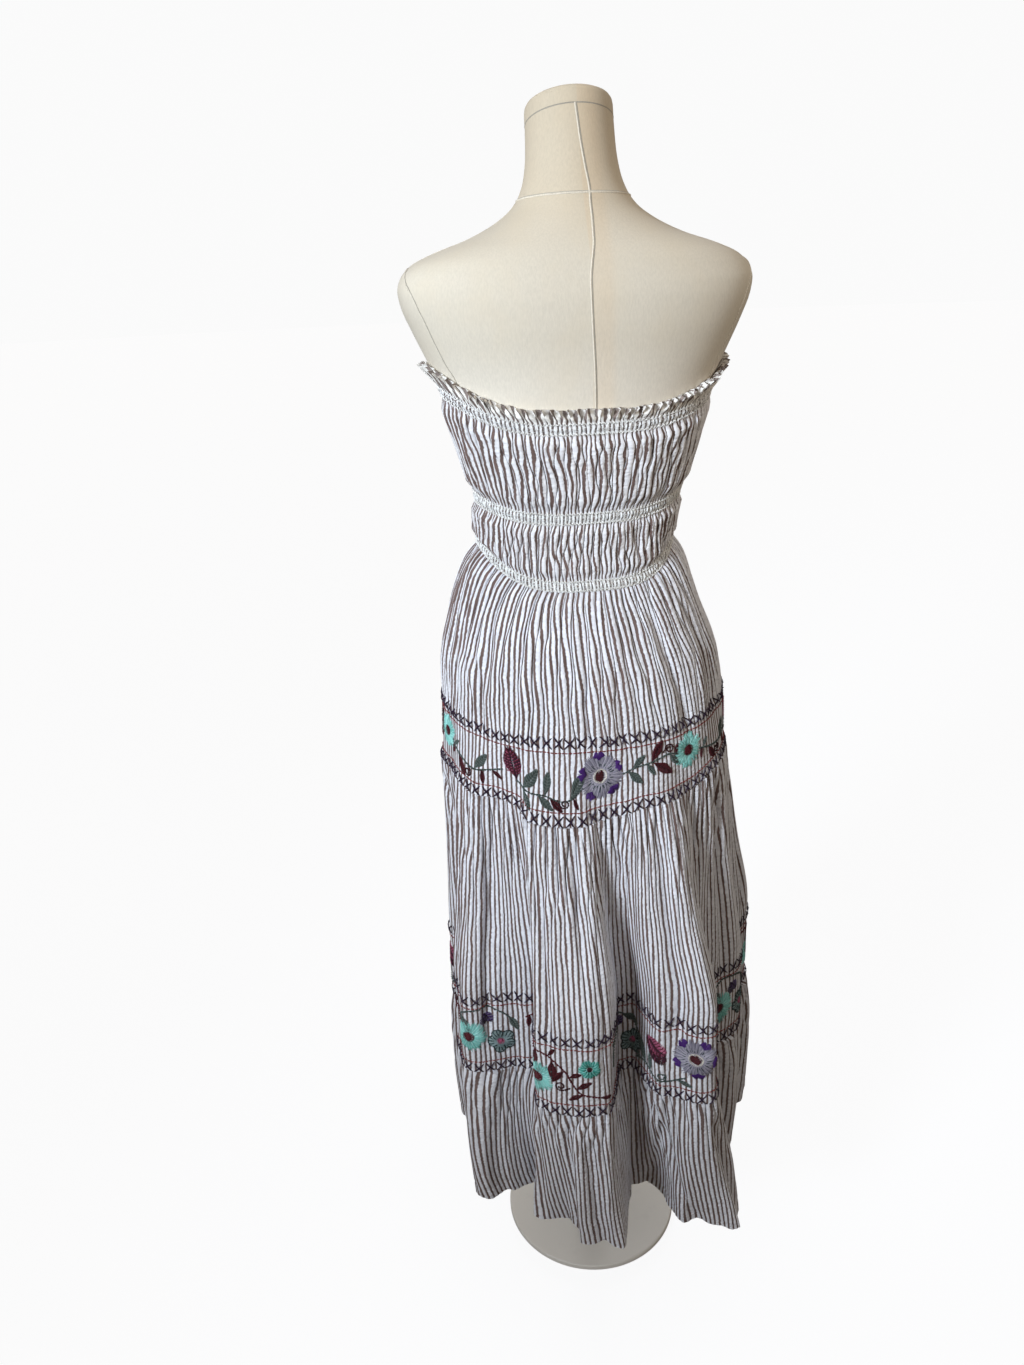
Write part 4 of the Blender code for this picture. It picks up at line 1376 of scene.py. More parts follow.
@functools.lru_cache(maxsize=None)
def cotton():
    """Crinkled white cotton with narrow woven stripes that follow the cloth."""
    own = settings()
    made, tree, shader = new_finish("striped_crinkle_cotton", own.ground_colour)
    flat = add_node(tree, "ShaderNodeUVMap", uv_map="cloth").outputs[0]
    parts = add_node(tree, "ShaderNodeSeparateXYZ", {0: flat})
    along, down = parts.outputs[0], parts.outputs[1]
    band = 0.0
    for (top, foot), white in zip(shirred_bands(), (0.72, 1.0, 1.0)):
        middle, half = 0.5 * (top + foot), 0.5 * (foot - top)
        off = calc(tree, "ABSOLUTE", calc(tree, "SUBTRACT", down, middle))
        band = plus(tree, map_range(tree, off, half - 0.0006, half + 0.0010, white, 0.0), band)
    waver = stretched_noise(tree, flat, (0.006, 0.018, 1.0), detail=3.0)
    ripples = stretched_noise(tree, flat, (0.0105, 0.0036, 1.0), detail=1.0)
    shifted = plus(tree, along, times(tree, calc(tree, "SUBTRACT", waver, 0.5), 0.0012))
    shifted = plus(tree, shifted, times(tree, ripples, 0.0015))
    near = calc(tree, "PINGPONG", calc(tree, "DIVIDE", shifted, own.stripe_pitch), 0.5)
    half = 0.5 * own.stripe_width / own.stripe_pitch
    stripe = map_range(tree, near, half - 0.035, half + 0.035, 1.0, 0.0)
    specks = stretched_noise(tree, flat, (0.0036, 0.0012, 1.0), detail=2.0)
    broken = times(tree, band, map_range(tree, specks, 0.47, 0.61, 0.05, 0.92))
    stripe = times(tree, stripe, calc(tree, "SUBTRACT", 1.0, broken))
    # Painted light: the stripes are painted fainter towards the ruffle's edge, to lift the shade
    # of its folds.
    stripe = times(tree, stripe, map_range(tree, down, 0.002, 0.017, 0.85, 1.0))
    patchy = stretched_noise(tree, flat, (0.020, 0.012, 1.0), detail=3.0)
    ground = blend_colour(tree, map_range(tree, patchy, 0.35, 0.65), toned(own.ground_colour),
                          toned(own.ground_colour, 0.93))
    # Painted shade: the ground is darkened in the valleys of the crinkle ripples, where their
    # shade would fall.
    ground = blend_colour(tree, map_range(tree, ripples, 0.36, 0.62, 0.65, 0.0), ground,
                          (0.84, 0.84, 0.86, 1.0), "MULTIPLY")
    ground = blend_colour(tree, map_range(tree, down, 0.16, 0.30, 1.0, 0.0), ground,
                          (1.0, 0.985, 0.955, 1.0), "MULTIPLY")
    # Painted light: the ground near the ruffle's edge is painted lighter and warmer, against the
    # shade of its folds.
    ground = blend_colour(tree, map_range(tree, down, 0.010, 0.017, 0.8, 0.0), ground,
                          (0.86, 0.84, 0.80, 1.0))
    bleached = tuple(min(0.88, part) for part in toned(own.ground_colour, 1.08)[:3]) + (1.0,)
    ground = blend_colour(tree, band, ground, bleached)
    worn = stretched_noise(tree, flat, (0.004, 0.015, 1.0), detail=3.0)
    woven = blend_colour(tree, map_range(tree, worn, 0.3, 0.7), toned(own.stripe_colour),
                         toned(own.stripe_colour, 1.45))
    crinkle = stretched_noise(tree, flat, (0.0060, 0.0042, 1.0), detail=2.0, roughness=0.5)
    flecks = stretched_noise(tree, flat, (0.0016, 0.0016, 1.0), detail=1.0)
    ground_only = calc(tree, "SUBTRACT", 1.0, times(tree, stripe, 0.85))
    height = plus(tree, times(tree, crinkle, ground_only), times(tree, flecks, 0.25))
    height = plus(tree, height, times(tree, ripples, 0.7))
    height = plus(tree, height, times(tree, times(tree, band, specks), 1.2))
    coat(tree, shader, blend_colour(tree, times(tree, stripe, 0.95), ground, woven), height,
         0.8, own.crinkle_height)
    matt(shader, 0.86, 0.25, sheen=0.06)
    return made


@functools.lru_cache(maxsize=None)
def jersey():
    """Cream knitted cover of the dress form."""
    cream = settings().jersey_colour
    made, tree, shader = new_finish("cream_jersey_cover", cream)
    place = object_place(tree)
    yarn = stretched_noise(tree, place, (0.0016, 0.0016, 0.0060), detail=3.0, roughness=0.6)
    cloudy = stretched_noise(tree, place, (0.045, 0.045, 0.060), detail=3.0)
    colour = blend_colour(tree, map_range(tree, yarn, 0.25, 0.75), toned(cream, 0.90),
                          toned(cream))
    faded = blend_colour(tree, map_range(tree, cloudy, 0.35, 0.75, 0.0, 0.35), colour,
                         (cream[0] * 0.97, cream[1] * 0.93, cream[2] * 0.86, 1.0))
    parts = add_node(tree, "ShaderNodeSeparateXYZ", {0: place})
    across, ahead, up = parts.outputs[0], parts.outputs[1], parts.outputs[2]
    strip = times(tree, map_range(tree, across, 0.0005, -0.0010),
                  map_range(tree, across, -0.030, -0.016))
    strip = times(tree, times(tree, strip, map_range(tree, ahead, 0.0, 0.03)), 0.6)
    warm = blend_colour(tree, strip, faded, (1.0, 0.93, 0.86, 1.0), "MULTIPLY")
    neck = map_range(tree, up, 1.385, 1.50, 0.0, 0.9)
    warm = blend_colour(tree, neck, warm, (0.90, 0.84, 0.76, 1.0), "MULTIPLY")
    # The cover is made lighter and cooler downwards from 1.335 m, fully so below 1.265 m.
    lighter_low = map_range(tree, up, 1.335, 1.265, 0.0, 1.0)
    warm = blend_colour(tree, lighter_low, warm, (1.13, 1.14, 1.17, 1.0), "MULTIPLY")
    coat(tree, shader, warm, yarn, 0.35, 0.0004)
    matt(shader, 0.9, 0.2, sheen=0.2)
    return made


@functools.lru_cache(maxsize=None)
def seam_jersey(name="cream_jersey_seam", share=1.0):
    """The cover's cloth where it is folded into a seam, painted lighter as a painted highlight on
    the welt; at a smaller share it is painted darker, as a painted shadow beside a welt.
    """
    cream = settings().jersey_colour
    made, tree, shader = new_finish(name, cream)
    yarn = stretched_noise(tree, object_place(tree), (0.0016, 0.0016, 0.0030), detail=3.0,
                           roughness=0.6)
    # Painted highlight on the welt, from 0.92 to 1.12 of the cover's cream; a share of 0.50 makes
    # it painted shadow instead.
    colour = blend_colour(tree, map_range(tree, yarn, 0.25, 0.75), toned(cream, 0.92 * share),
                          toned(cream, 1.12 * share))
    coat(tree, shader, colour, yarn, 0.5, 0.0005)
    matt(shader, 0.9, 0.2, sheen=0.2)
    return made


@functools.lru_cache(maxsize=None)
def thread():
    """Soft shine of embroidery thread; each stitch carries its own colour."""
    made, tree, shader = new_finish("embroidery_thread", (0.3, 0.3, 0.3))
    colour = add_node(tree, "ShaderNodeAttribute", attribute_name="thread_colour").outputs[0]
    twist = stretched_noise(tree, object_place(tree), (0.0012, 0.0012, 0.0012), detail=1.0)
    shaded = blend_colour(tree, map_range(tree, twist, 0.3, 0.7, 0.0, 0.18), colour,
                          (0.02, 0.02, 0.02, 1.0))
    coat(tree, shader, shaded, twist, 0.5, 0.0002)
    matt(shader, 0.60, 0.22, sheen=0.04)
    return made


@functools.lru_cache(maxsize=None)
def brushed_steel():
    """Satin steel with fine lines round the pole."""
    steel = (0.62, 0.62, 0.61)
    made, tree, shader = new_finish("brushed_steel", steel)
    lines = stretched_noise(tree, object_place(tree), (0.02, 0.02, 0.0006), detail=2.0)
    shader.inputs["Base Color"].default_value = toned(steel)
    shader.inputs["Metallic"].default_value = 1.0
    rough = map_range(tree, lines, 0.2, 0.8, 0.26, 0.44)
    tree.links.new(rough, shader.inputs["Roughness"])
    coat(tree, shader, None, lines, 0.2, 0.0002)
    return made


@functools.lru_cache(maxsize=None)
def base_enamel():
    """Cream paint with a faint orange-peel skin, worn thinner in places."""
    paint = settings().base_colour
    made, tree, shader = new_finish("cream_enamel", paint)
    place = object_place(tree)
    skin = stretched_noise(tree, place, (0.004, 0.004, 0.004), detail=2.0)
    marks = stretched_noise(tree, place, (0.03, 0.03, 0.03), detail=4.0, roughness=0.65)
    colour = blend_colour(tree, map_range(tree, marks, 0.55, 0.80, 0.0, 0.4), toned(paint),
                          toned(paint, 0.86))
    tree.links.new(map_range(tree, marks, 0.3, 0.7, 0.34, 0.50), shader.inputs["Roughness"])
    coat(tree, shader, colour, skin, 0.15, 0.0003)
    return made


# ---------------------------------------------------------------- the dress form
def neck_place(heights):
    """How far the neck has leaned forward at a height, and the slope of its section."""
    rise = np.maximum(0.0, heights - NECK_BASE)
    return -NECK_LEAN * rise, NECK_TOP_TILT * rise / (NECK_TOP - NECK_BASE)


def form_points(turns, heights, scale=1.0, lift=0.0):
    """Points of the form's surface; the neck leans forward and its sections dip."""
    points = body_oval(turns, heights) * scale
    lean, slope = neck_place(heights)
    return np.column_stack([points[:, 0], points[:, 1] + lean - NECK_LEAN * lift,
                            heights + lift + slope * points[:, 1]])


FORM_COLUMNS = 176         # points round the form
# Seams of the cover: turns and heights along each line
CENTRE_BACK_SEAM = (
    (177.5, 1.5445), (181, 1.515), (184.5, 1.490), (186.5, 1.471), (184.5, 1.452), (181.5, 1.425),
    (180, 1.395), (180, 1.330), (180.6, 1.260), (180.6, 1.150), (180, 1.000), (180, 0.790),
)
CENTRE_FRONT_SEAM = (
    (0, 1.5445), (0, 1.471), (0, 1.430), (0, 1.330), (0, 1.230), (0, 1.100), (0, 0.950),
    (0, 0.790),
)
SIDE_SEAM = ((90, 1.265), (90, 1.150), (90, 1.050), (90, 0.900), (90, 0.790))
# Edge of the plate that closes an arm opening, from behind the arm round to its front
ARM_PLATE_SEAM = (
    (90, 1.4045), (98, 1.4000), (106, 1.3900), (113, 1.3780), (116.5, 1.3560), (117, 1.3300),
    (117.5, 1.3050), (119, 1.2850), (112, 1.2660), (98, 1.2560), (84, 1.2560), (70, 1.2680),
    (62, 1.2900), (60, 1.3200), (61, 1.3520), (66, 1.3780), (76, 1.3960), (90, 1.4045),
)
SHOULDER_SEAM = ((90, 1.4045), (90, 1.4150), (91, 1.4280), (92, 1.4450), (93, 1.4650))


def cover_seam(name, line, mirrored=False, width=0.0020, raised=0.0007, closed=False,
               beside=0.0, finish=None):
    """A seam of the cover as a low rounded welt that is sunk into the form."""
    line = smooth_line(np.asarray(line, float), 12)
    turns, heights = np.radians(line[:, 0]), line[:, 1]
    turns = -turns if mirrored else turns
    points = form_points(turns, heights)
    ahead, above = form_points(turns + 1e-3, heights), form_points(turns, heights + 1e-4)
    normal = np.cross(ahead - points, above - points)
    normal /= np.linalg.norm(normal, axis=1)[:, None]
    tangent = np.gradient(points, axis=0)
    if closed:
        tangent[0] = tangent[-1] = points[1] - points[-2]
    across = np.cross(normal, tangent)
    across /= np.linalg.norm(across, axis=1)[:, None]
    profile = ((-0.5, -0.8), (-0.42, 0.45), (0.0, 1.0), (0.42, 0.45), (0.5, -0.8))
    sides = [points + across * (beside + width * side) + normal * raised * high
             for side, high in profile]
    made = mesh_object(name, *closed_loft(np.stack(sides, axis=1)), finish or seam_jersey())
    outward_faces(made)
    return made


def outward_faces(made):
    """Point the faces of a closed mesh outwards."""
    bpy.ops.object.select_all(action="DESELECT")
    made.select_set(True)
    bpy.context.view_layer.objects.active = made
    bpy.ops.object.mode_set(mode="EDIT")
    bpy.ops.mesh.select_all(action="SELECT")
    bpy.ops.mesh.normals_make_consistent(inside=False)
    bpy.ops.object.mode_set(mode="OBJECT")


def form_seams():
    """The welts of the cover, with the fine strip of painted shadow that runs along the main ones.
    """
    ring = np.linspace(0.0, 360.0, 49)
    neck_ring = np.column_stack([ring, 1.4685 + 0.0025 * np.cos(np.radians(ring))])
    cap_ring = np.column_stack([ring, 0.0 * ring + NECK_TOP - 0.0004])
    # A darker copy of the seam cloth, used as painted shadow.
    shade = seam_jersey("cream_jersey_painted_shadow", 0.50)

    def welt_and_painted_shadow(name, line, width, raised, shadow_width, beside, **values):
        # The strip named with _fold is painted shadow: darker cloth beside the welt, where its
        # groove's shade would fall.
        cover_seam(name.format("seam"), line, width=width, raised=raised, **values)
        cover_seam(name.format("fold"), line, width=shadow_width, raised=0.0003,
                   beside=beside, finish=shade, **values)

    welt_and_painted_shadow("centre_back_{}", CENTRE_BACK_SEAM, 0.0021, 0.0009, 0.0012, 0.0016)
    cover_seam("centre_front_seam", CENTRE_FRONT_SEAM)
    welt_and_painted_shadow("neck_base_{}", neck_ring, 0.0024, 0.0010, 0.0010, 0.0015, closed=True)
    # A ring of painted shadow at the foot of the neck cap, where the groove's shade would fall.
    cover_seam("neck_cap_painted_shadow", cap_ring, width=0.0015, raised=0.0003, closed=True,
               finish=shade)
    for side, mirrored in (("left", False), ("right", True)):
        cover_seam(f"side_seam_{side}", SIDE_SEAM, mirrored)
        welt_and_painted_shadow("arm_plate_{}_" + side, ARM_PLATE_SEAM, 0.0022, 0.0009, 0.0012, 0.0014,
                      closed=True, mirrored=mirrored)
        cover_seam(f"shoulder_seam_{side}", SHOULDER_SEAM, mirrored, width=0.0014,
                   raised=0.0004)


def form_pieces():
    """The cover of the torso and neck, and the cap on the neck."""
    turns = np.linspace(0.0, 2.0 * math.pi, FORM_COLUMNS, endpoint=False)
    table = [row[0] for row in FORM_SECTIONS]
    heights = np.concatenate([np.linspace(low, high, 4, endpoint=False)
                              for low, high in zip(table, table[1:])] + [[NECK_TOP]])
    rings = [form_points(turns, np.full(FORM_COLUMNS, height)) for height in heights]
    torso = mesh_object("torso_cover", *closed_loft(rings), jersey())
    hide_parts("form_torso")
    profile = ((1.0, SEAM_GAP), (1.003, 0.003), (1.0, 0.6 * CAP_HEIGHT),
               (0.985, 0.80 * CAP_HEIGHT), (0.955, 0.92 * CAP_HEIGHT), (0.90, CAP_HEIGHT),
               (0.75, 1.04 * CAP_HEIGHT), (0.40, 1.08 * CAP_HEIGHT))
    rings = [form_points(turns, np.full(FORM_COLUMNS, NECK_TOP), scale, lift)
             for scale, lift in profile]
    cap = mesh_object("neck_cap_cover", *closed_loft(rings), jersey())
    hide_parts("neck_cap")


# ---------------------------------------------------------------- the stand
POLE_RADIUS = 0.0125
FLANGE_RADIUS = 0.042
FLANGE_HEIGHT = 0.006
BASE_RADIUS = 0.130
BASE_PLATE = 0.009
HUB_RADIUS = 0.024
HUB_TOP = 0.036
SOCKET_FLOOR = 0.012


def drawn_up(name, profile, finish, node, sides=96):
    """A disc extruded and scaled, step by step, through radii and heights."""
    bpy.ops.object.select_all(action="DESELECT")
    radius, height = profile[0]
    bpy.ops.mesh.primitive_circle_add(vertices=sides, radius=radius, fill_type="NGON",
                                      location=(0.0, 0.0, height), enter_editmode=True)
    made = bpy.context.object
    made.name = name
    bpy.ops.mesh.select_all(action="SELECT")
    for next_radius, next_height in profile[1:]:
        bpy.ops.mesh.extrude_region_move(
            TRANSFORM_OT_translate={"value": (0.0, 0.0, next_height - height)})
        share = next_radius / radius
        bpy.ops.transform.resize(value=(share, share, 1.0),
                                 center_override=(0.0, 0.0, next_height))
        radius, height = next_radius, next_height
    bpy.ops.mesh.select_all(action="SELECT")
    bpy.ops.mesh.normals_make_consistent(inside=False)
    bpy.ops.object.mode_set(mode="OBJECT")
    bpy.ops.object.transform_apply(location=True, rotation=True, scale=True)
    bpy.ops.object.shade_smooth_by_angle(angle=math.radians(35.0))
    made.data.materials.append(finish)
    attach(made, "root")
    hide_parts(node)
    return made


def rounded(radius, height, edge):
    """Profile points that round an edge from a rising wall to a flat top."""
    turns = np.linspace(0.0, 0.5 * math.pi, 6)
    return [(radius - edge * (1.0 - math.cos(turn)), height - edge * (1.0 - math.sin(turn)))
            for turn in turns]


def stand_pieces():
    """The round base with its hub, and the pole with the flange that carries the form."""
    edge = 0.0025
    base = [(BASE_RADIUS - 0.0015, 0.0), (BASE_RADIUS, 0.0015)]
    base += rounded(BASE_RADIUS, BASE_PLATE, edge)
    base += [(HUB_RADIUS + 0.004, BASE_PLATE), (HUB_RADIUS + 0.0012, BASE_PLATE + 0.0010),
             (HUB_RADIUS, BASE_PLATE + 0.004)]
    base += rounded(HUB_RADIUS, HUB_TOP, edge)
    base += [(POLE_RADIUS + SEAM_GAP, HUB_TOP), (POLE_RADIUS + SEAM_GAP, SOCKET_FLOOR)]
    drawn_up("stand_base", base, base_enamel(), "base")
    foot = FORM_FOOT - SEAM_GAP - FLANGE_HEIGHT
    pole = [(POLE_RADIUS - 0.0010, SOCKET_FLOOR + SEAM_GAP),
            (POLE_RADIUS, SOCKET_FLOOR + SEAM_GAP + 0.0010), (POLE_RADIUS, foot - 0.020),
            (POLE_RADIUS + 0.003, foot - 0.017), (POLE_RADIUS + 0.003, foot - 0.002),
            (POLE_RADIUS + 0.005, foot), (FLANGE_RADIUS - 0.001, foot),
            (FLANGE_RADIUS, foot + 0.001)]
    pole += rounded(FLANGE_RADIUS, foot + FLANGE_HEIGHT, 0.001)
    drawn_up("stand_pole", pole, brushed_steel(), "pole", 64)


# ---------------------------------------------------------------- stage
CAMERA_TURN = 170.0        # the camera stands behind the dress, a little to its left
SENSOR_WIDTH = 36.0        # millimetres, as the lens
FLOOR_RADIUS = 40.0


def lit_and_seen(tree, lighting, seen):
    """One shader for the light it gives, and another where it is looked at."""
    looked_at = add_node(tree, "ShaderNodeLightPath").outputs["Is Camera Ray"]
    return add_node(tree, "ShaderNodeMixShader", {0: looked_at, 1: lighting.outputs[0],
                                                  2: seen.outputs[0]})


def pale_floor():
    """A matt, evenly lit floor that throws little light back up at the dress."""
    made, tree, shader = new_finish("pale_floor", settings().floor_colour)
    shader.inputs["Base Color"].default_value = toned(settings().floor_colour)
    matt(shader, 0.9, 0.1)
    shader.inputs["Emission Color"].default_value = (1.0, 1.0, 1.0, 1.0)
    shader.inputs["Emission Strength"].default_value = settings().floor_glow
    dim = add_node(tree, "ShaderNodeBsdfDiffuse", {"Color": (0.20, 0.18, 0.16, 1.0)})
    both = lit_and_seen(tree, dim, shader)
    output = tree.nodes["Material Output"]
    tree.links.new(both.outputs[0], output.inputs["Surface"])
    return made


def stage_floor():
    """A wide, plain floor."""
    bpy.ops.object.select_all(action="DESELECT")
    bpy.ops.mesh.primitive_circle_add(vertices=96, radius=FLOOR_RADIUS, fill_type="NGON",
                                      location=(0.0, 0.0, 0.0))
    floor = bpy.context.object
    floor.name = "floor"
    floor.data.materials.append(pale_floor())


def stage_camera():
    """The camera, aimed at the form's axis and then turned, tipped and tilted."""
    own = settings()
    azimuth = math.radians(CAMERA_TURN)
    place = Vector((own.camera_distance * math.sin(azimuth),
                    -own.camera_distance * math.cos(azimuth), own.camera_height))
    data = bpy.data.cameras.new("camera")
    data.lens = own.lens
    data.sensor_width = SENSOR_WIDTH
    camera = bpy.data.objects.new("camera", data)
    bpy.context.scene.collection.objects.link(camera)
    heading = math.atan2(-place.y, -place.x) + own.camera_yaw
    turn = (Matrix.Rotation(heading - math.pi / 2.0, 4, "Z")
            @ Matrix.Rotation(math.pi / 2.0 - own.camera_pitch, 4, "X")
            @ Matrix.Rotation(-own.camera_roll, 4, "Z"))
    camera.matrix_world = Matrix.Translation(place) @ turn
    bpy.context.scene.camera = camera


def stage_light(name, kind, place, aim, strength, colour, **values):
    """A soft light of one kind that stands at a place and shines at another."""
    data = bpy.data.lights.new(name, kind)
    data.energy = strength
    data.color = colour
    for setting, value in values.items():
        setattr(data, setting, value)
    light = bpy.data.objects.new(name, data)
    light.location = place
    light.rotation_mode = "QUATERNION"
    light.rotation_quaternion = (Vector(place) - Vector(aim)).to_track_quat("Z", "Y")
    bpy.context.scene.collection.objects.link(light)


def stage_lights():
    """Cool main light, warm side light, soft front light and a wide one from above."""
    own = settings()
    spots = (
        ("key", (2.17, 2.02, 1.95), (0.0, 0.0, 1.27), own.key_strength, (0.85, 0.93, 1.0),
         0.42, 49.0),
        ("side", (-2.10, 1.30, 2.00), (-0.08, 0.0, 1.38), own.side_strength,
         (1.0, 0.88, 0.72), 0.50, 32.0),
        ("front", (-0.46, -2.60, 1.25), (0.0, 0.0, 0.92), own.front_strength,
         (1.0, 0.98, 0.95), 0.60, 44.0))
    for name, place, aim, strength, colour, size, spread in spots:
        stage_light(name, "SPOT", place, aim, strength, colour, shadow_soft_size=size,
                    spot_size=math.radians(spread), spot_blend=1.0)
    stage_light("top", "SUN", (0.5, 0.9, 4.0), (0.0, 0.0, 0.0), own.top_strength,
                (0.93, 0.97, 1.0), angle=math.radians(80.0))


def stage_world():
    """Even, warm light from all round, and plain white behind the dress."""
    world = bpy.data.worlds.new("soft_studio")
    world.use_nodes = True
    tree = world.node_tree
    tree.nodes.clear()
    fill = add_node(tree, "ShaderNodeBackground", {"Color": (1.0, 0.86, 0.70, 1.0),
                                                   "Strength": settings().fill_strength})
    plain = add_node(tree, "ShaderNodeBackground", {"Color": (1.0, 1.0, 1.0, 1.0),
                                                    "Strength": 0.96})
    both = lit_and_seen(tree, fill, plain)
    output = add_node(tree, "ShaderNodeOutputWorld", {"Surface": both.outputs[0]})
    output.is_active_output = True
    bpy.context.scene.world = world
    bpy.context.scene.view_settings.view_transform = "Standard"


# ---------------------------------------------------------------- settings and operators
class MidiDressSettings(bpy.types.PropertyGroup):
    """Sizes and colours of the dress, its form and the stage."""

    stripe_pitch: FloatProperty(
        name="Stripe pitch", description="Distance from one stripe to the next on the flat cloth",
        default=0.0066, min=0.002, max=0.05, subtype="DISTANCE", unit="LENGTH")
    stripe_width: FloatProperty(
        name="Stripe width", description="Width of one woven stripe",
        default=0.0026, min=0.0005, max=0.02, subtype="DISTANCE", unit="LENGTH")
    crinkle_height: FloatProperty(
        name="Crinkle height", description="Height of the small blisters between the stripes",
        default=0.0023, min=0.0, max=0.006, subtype="DISTANCE", unit="LENGTH")
    ground_colour: FloatVectorProperty(
        name="Ground", description="Colour of the cotton between the stripes",
        default=(0.790, 0.803, 0.870), min=0.0, max=1.0, subtype="COLOR")
    stripe_colour: FloatVectorProperty(
        name="Stripe", description="Colour of the woven stripes",
        default=(0.094, 0.054, 0.045), min=0.0, max=1.0, subtype="COLOR")
    jersey_colour: FloatVectorProperty(
        name="Form cover", description="Colour of the dress form's knitted cover",
        default=(0.655, 0.606, 0.520), min=0.0, max=1.0, subtype="COLOR")
    base_colour: FloatVectorProperty(
        name="Base paint", description="Colour of the painted base",
        default=(0.90, 0.89, 0.87), min=0.0, max=1.0, subtype="COLOR")
    floor_colour: FloatVectorProperty(
        name="Floor", description="Colour of the plain floor",
        default=(0.15, 0.16, 0.185), min=0.0, max=1.0, subtype="COLOR")
    camera_distance: FloatProperty(
        name="Camera distance", description="Level distance of the camera from the form's axis",
        default=1.24, min=0.3, max=10.0, subtype="DISTANCE", unit="LENGTH")
    camera_height: FloatProperty(
        name="Camera height", description="Height of the camera over the floor",
        default=1.39, min=0.0, max=5.0, subtype="DISTANCE", unit="LENGTH")
    camera_yaw: FloatProperty(
        name="Camera yaw", description="Turn of the camera past the form's axis",
        default=math.radians(4.2), subtype="ANGLE")
    camera_pitch: FloatProperty(
        name="Camera pitch", description="How far the camera looks down",
        default=math.radians(21.5), subtype="ANGLE")
    camera_roll: FloatProperty(
        name="Camera roll", description="Tilt of the camera about its own line of sight",
        default=math.radians(2.5), subtype="ANGLE")
    lens: FloatProperty(
        name="Lens", description="Focal length of the camera in millimetres",
        default=27.03, min=10.0, max=200.0)
    fill_strength: FloatProperty(
        name="Fill light", description="Strength of the even, warm light from all round",
        default=0.30, min=0.0, max=5.0)
    key_strength: FloatProperty(
        name="Main light", description="Strength of the soft, cool light from the left",
        default=455.0, min=0.0, max=5000.0)
    side_strength: FloatProperty(
        name="Side light", description="Strength of the weak, warm light from the right",
        default=75.0, min=0.0, max=5000.0)
    front_strength: FloatProperty(
        name="Front light", description="Strength of the soft light on the front of the dress",
        default=260.0, min=0.0, max=5000.0)
    top_strength: FloatProperty(
        name="Top light", description="Strength of the soft light from above",
        default=0.45, min=0.0, max=20.0)
    floor_glow: FloatProperty(
        name="Floor glow", description="Even light of the floor itself, as a lit studio floor has",
        default=0.895, min=0.0, max=2.0)


class DRESS_OT_bodice(bpy.types.Operator):
    """Make the shirred bodice with its ruffle"""
    bl_idname = "midi_dress.bodice"
    bl_label = "Bodice"

    def execute(self, context):
        level_pieces("bodice", bodice_cloth(), 0.0)
        return {"FINISHED"}


class DRESS_OT_upper_tier(bpy.types.Operator):
    """Make the upper tier of the skirt"""
    bl_idname = "midi_dress.upper_tier"
    bl_label = "Upper tier"

    def execute(self, context):
        level_pieces("upper_tier", upper_tier_cloth(), 0.3)
        return {"FINISHED"}


class DRESS_OT_middle_tier(bpy.types.Operator):
    """Make the middle tier of the skirt"""
    bl_idname = "midi_dress.middle_tier"
    bl_label = "Middle tier"

    def execute(self, context):
        level_pieces("middle_tier", middle_tier_cloth(), 0.7)
        return {"FINISHED"}


class DRESS_OT_bottom_tier(bpy.types.Operator):
    """Make the bottom tier of the skirt with its hem"""
    bl_idname = "midi_dress.bottom_tier"
    bl_label = "Bottom tier"

    def execute(self, context):
        level_pieces("bottom_tier", bottom_tier_cloth(), 1.2)
        return {"FINISHED"}


class DRESS_OT_shirring(bpy.types.Operator):
    """Sew the two rows of elastic stitches of each shirred band"""
    bl_idname = "midi_dress.shirring"
    bl_label = "Shirring stitches"

    def execute(self, context):
        work = Needlework(3)
        cloth = bodice_cloth()
        top = BODICE_LINES[0][1]
        for line, shift in ELASTIC_ROWS:
            shirring_row(work, cloth, top - BODICE_LINES[line][1] + shift)
        thread_object("shirring_stitches", work, cloth)
        return {"FINISHED"}


class DRESS_OT_upper_embroidery(bpy.types.Operator):
    """Embroider the foot of the upper tier"""
    bl_idname = "midi_dress.upper_embroidery"
    bl_label = "Upper embroidery"

    def execute(self, context):
        embroidered_band("upper_embroidery", 5, upper_tier_cloth(), UPPER_CROSSES, 0.288,
                         upper_garland)
        return {"FINISHED"}


class DRESS_OT_lower_embroidery(bpy.types.Operator):
    """Embroider the foot of the middle tier"""
    bl_idname = "midi_dress.lower_embroidery"
    bl_label = "Lower embroidery"

    def execute(self, context):
        embroidered_band("lower_embroidery", 6, middle_tier_cloth(), LOWER_CROSSES, 0.645,
                         lower_garland)
        return {"FINISHED"}


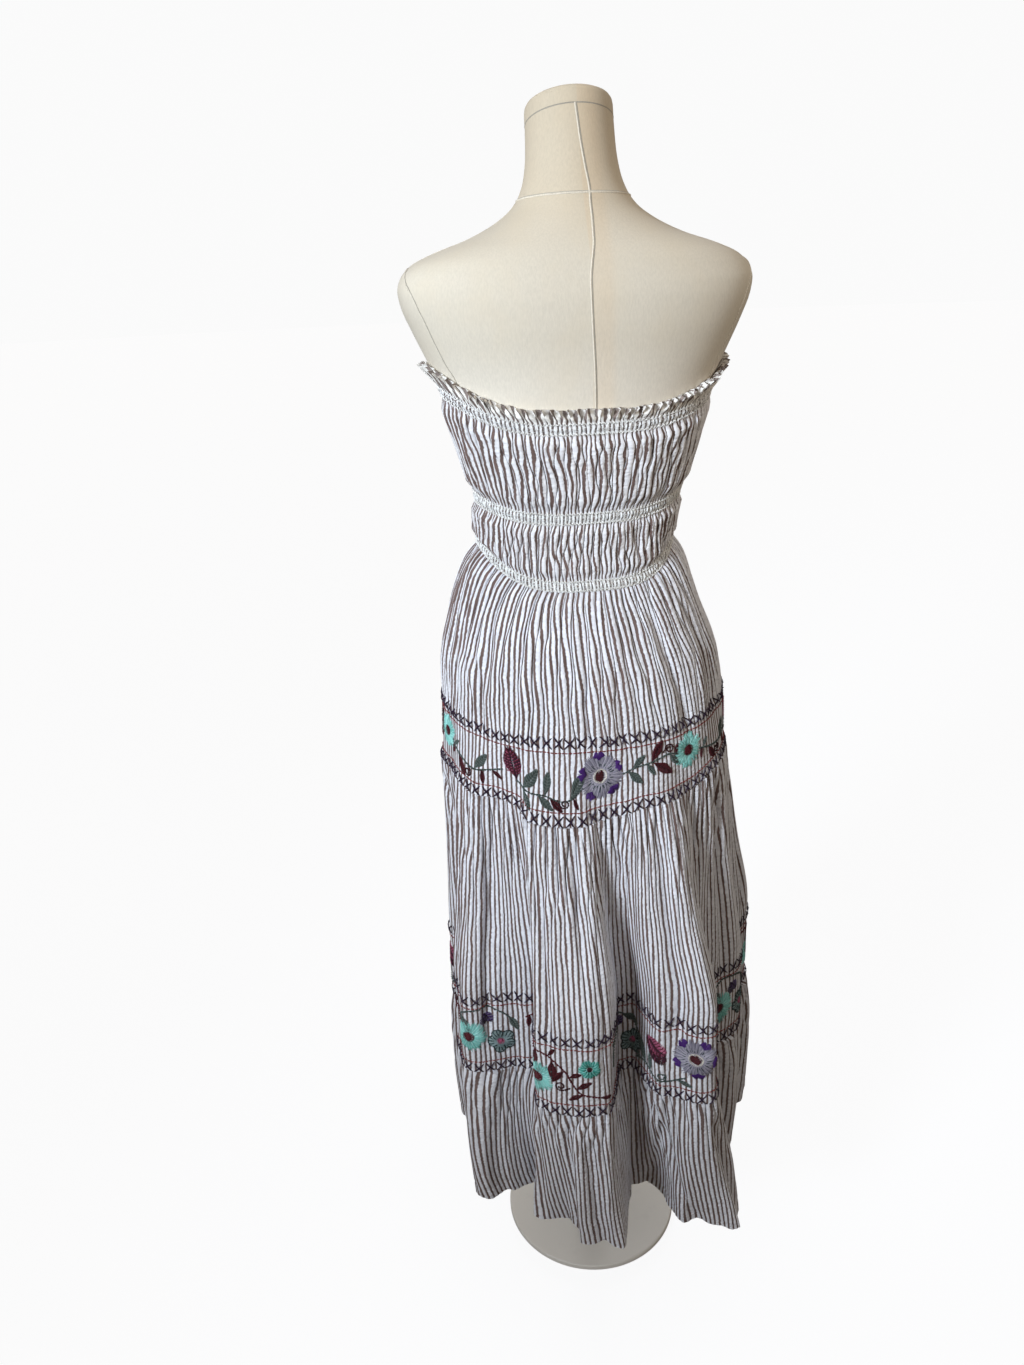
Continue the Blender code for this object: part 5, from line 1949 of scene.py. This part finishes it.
class DRESS_OT_stand(bpy.types.Operator):
    """Make the pole and the base"""
    bl_idname = "midi_dress.stand"
    bl_label = "Stand"

    def execute(self, context):
        stand_pieces()
        return {"FINISHED"}


class DRESS_OT_form(bpy.types.Operator):
    """Make the dress form's cover and neck cap"""
    bl_idname = "midi_dress.form"
    bl_label = "Dress form"

    def execute(self, context):
        form_pieces()
        form_seams()
        return {"FINISHED"}


class DRESS_OT_stage(bpy.types.Operator):
    """Make the floor, the lights, the world and the camera"""
    bl_idname = "midi_dress.stage"
    bl_label = "Stage"

    def execute(self, context):
        stage_floor()
        stage_camera()
        stage_lights()
        stage_world()
        return {"FINISHED"}


class DRESS_PT_panel(bpy.types.Panel):
    """Sizes, colours and makers of the dress"""
    bl_idname = "DRESS_PT_panel"
    bl_label = "Midi dress"
    bl_space_type = "VIEW_3D"
    bl_region_type = "UI"
    bl_category = "Midi dress"

    def draw(self, context):
        for name in MidiDressSettings.__annotations__:
            self.layout.prop(context.scene.midi_dress, name)
        for operator in OPERATORS:
            self.layout.operator(operator.bl_idname)


OPERATORS = (DRESS_OT_form, DRESS_OT_stand, DRESS_OT_bodice, DRESS_OT_upper_tier,
             DRESS_OT_middle_tier, DRESS_OT_bottom_tier, DRESS_OT_shirring,
             DRESS_OT_upper_embroidery, DRESS_OT_lower_embroidery, DRESS_OT_stage)


def register():
    for item in (MidiDressSettings, *OPERATORS, DRESS_PT_panel):
        bpy.utils.register_class(item)
    bpy.types.Scene.midi_dress = PointerProperty(type=MidiDressSettings)


def unregister():
    del bpy.types.Scene.midi_dress
    for item in reversed((MidiDressSettings, *OPERATORS, DRESS_PT_panel)):
        bpy.utils.unregister_class(item)


def main():
    register()
    bpy.ops.midi_dress.form()
    bpy.ops.midi_dress.stand()
    bpy.ops.midi_dress.bodice()
    bpy.ops.midi_dress.upper_tier()
    bpy.ops.midi_dress.middle_tier()
    bpy.ops.midi_dress.bottom_tier()
    bpy.ops.midi_dress.shirring()
    bpy.ops.midi_dress.upper_embroidery()
    bpy.ops.midi_dress.lower_embroidery()
    bpy.ops.midi_dress.stage()


if __name__ == "__main__":
    main()
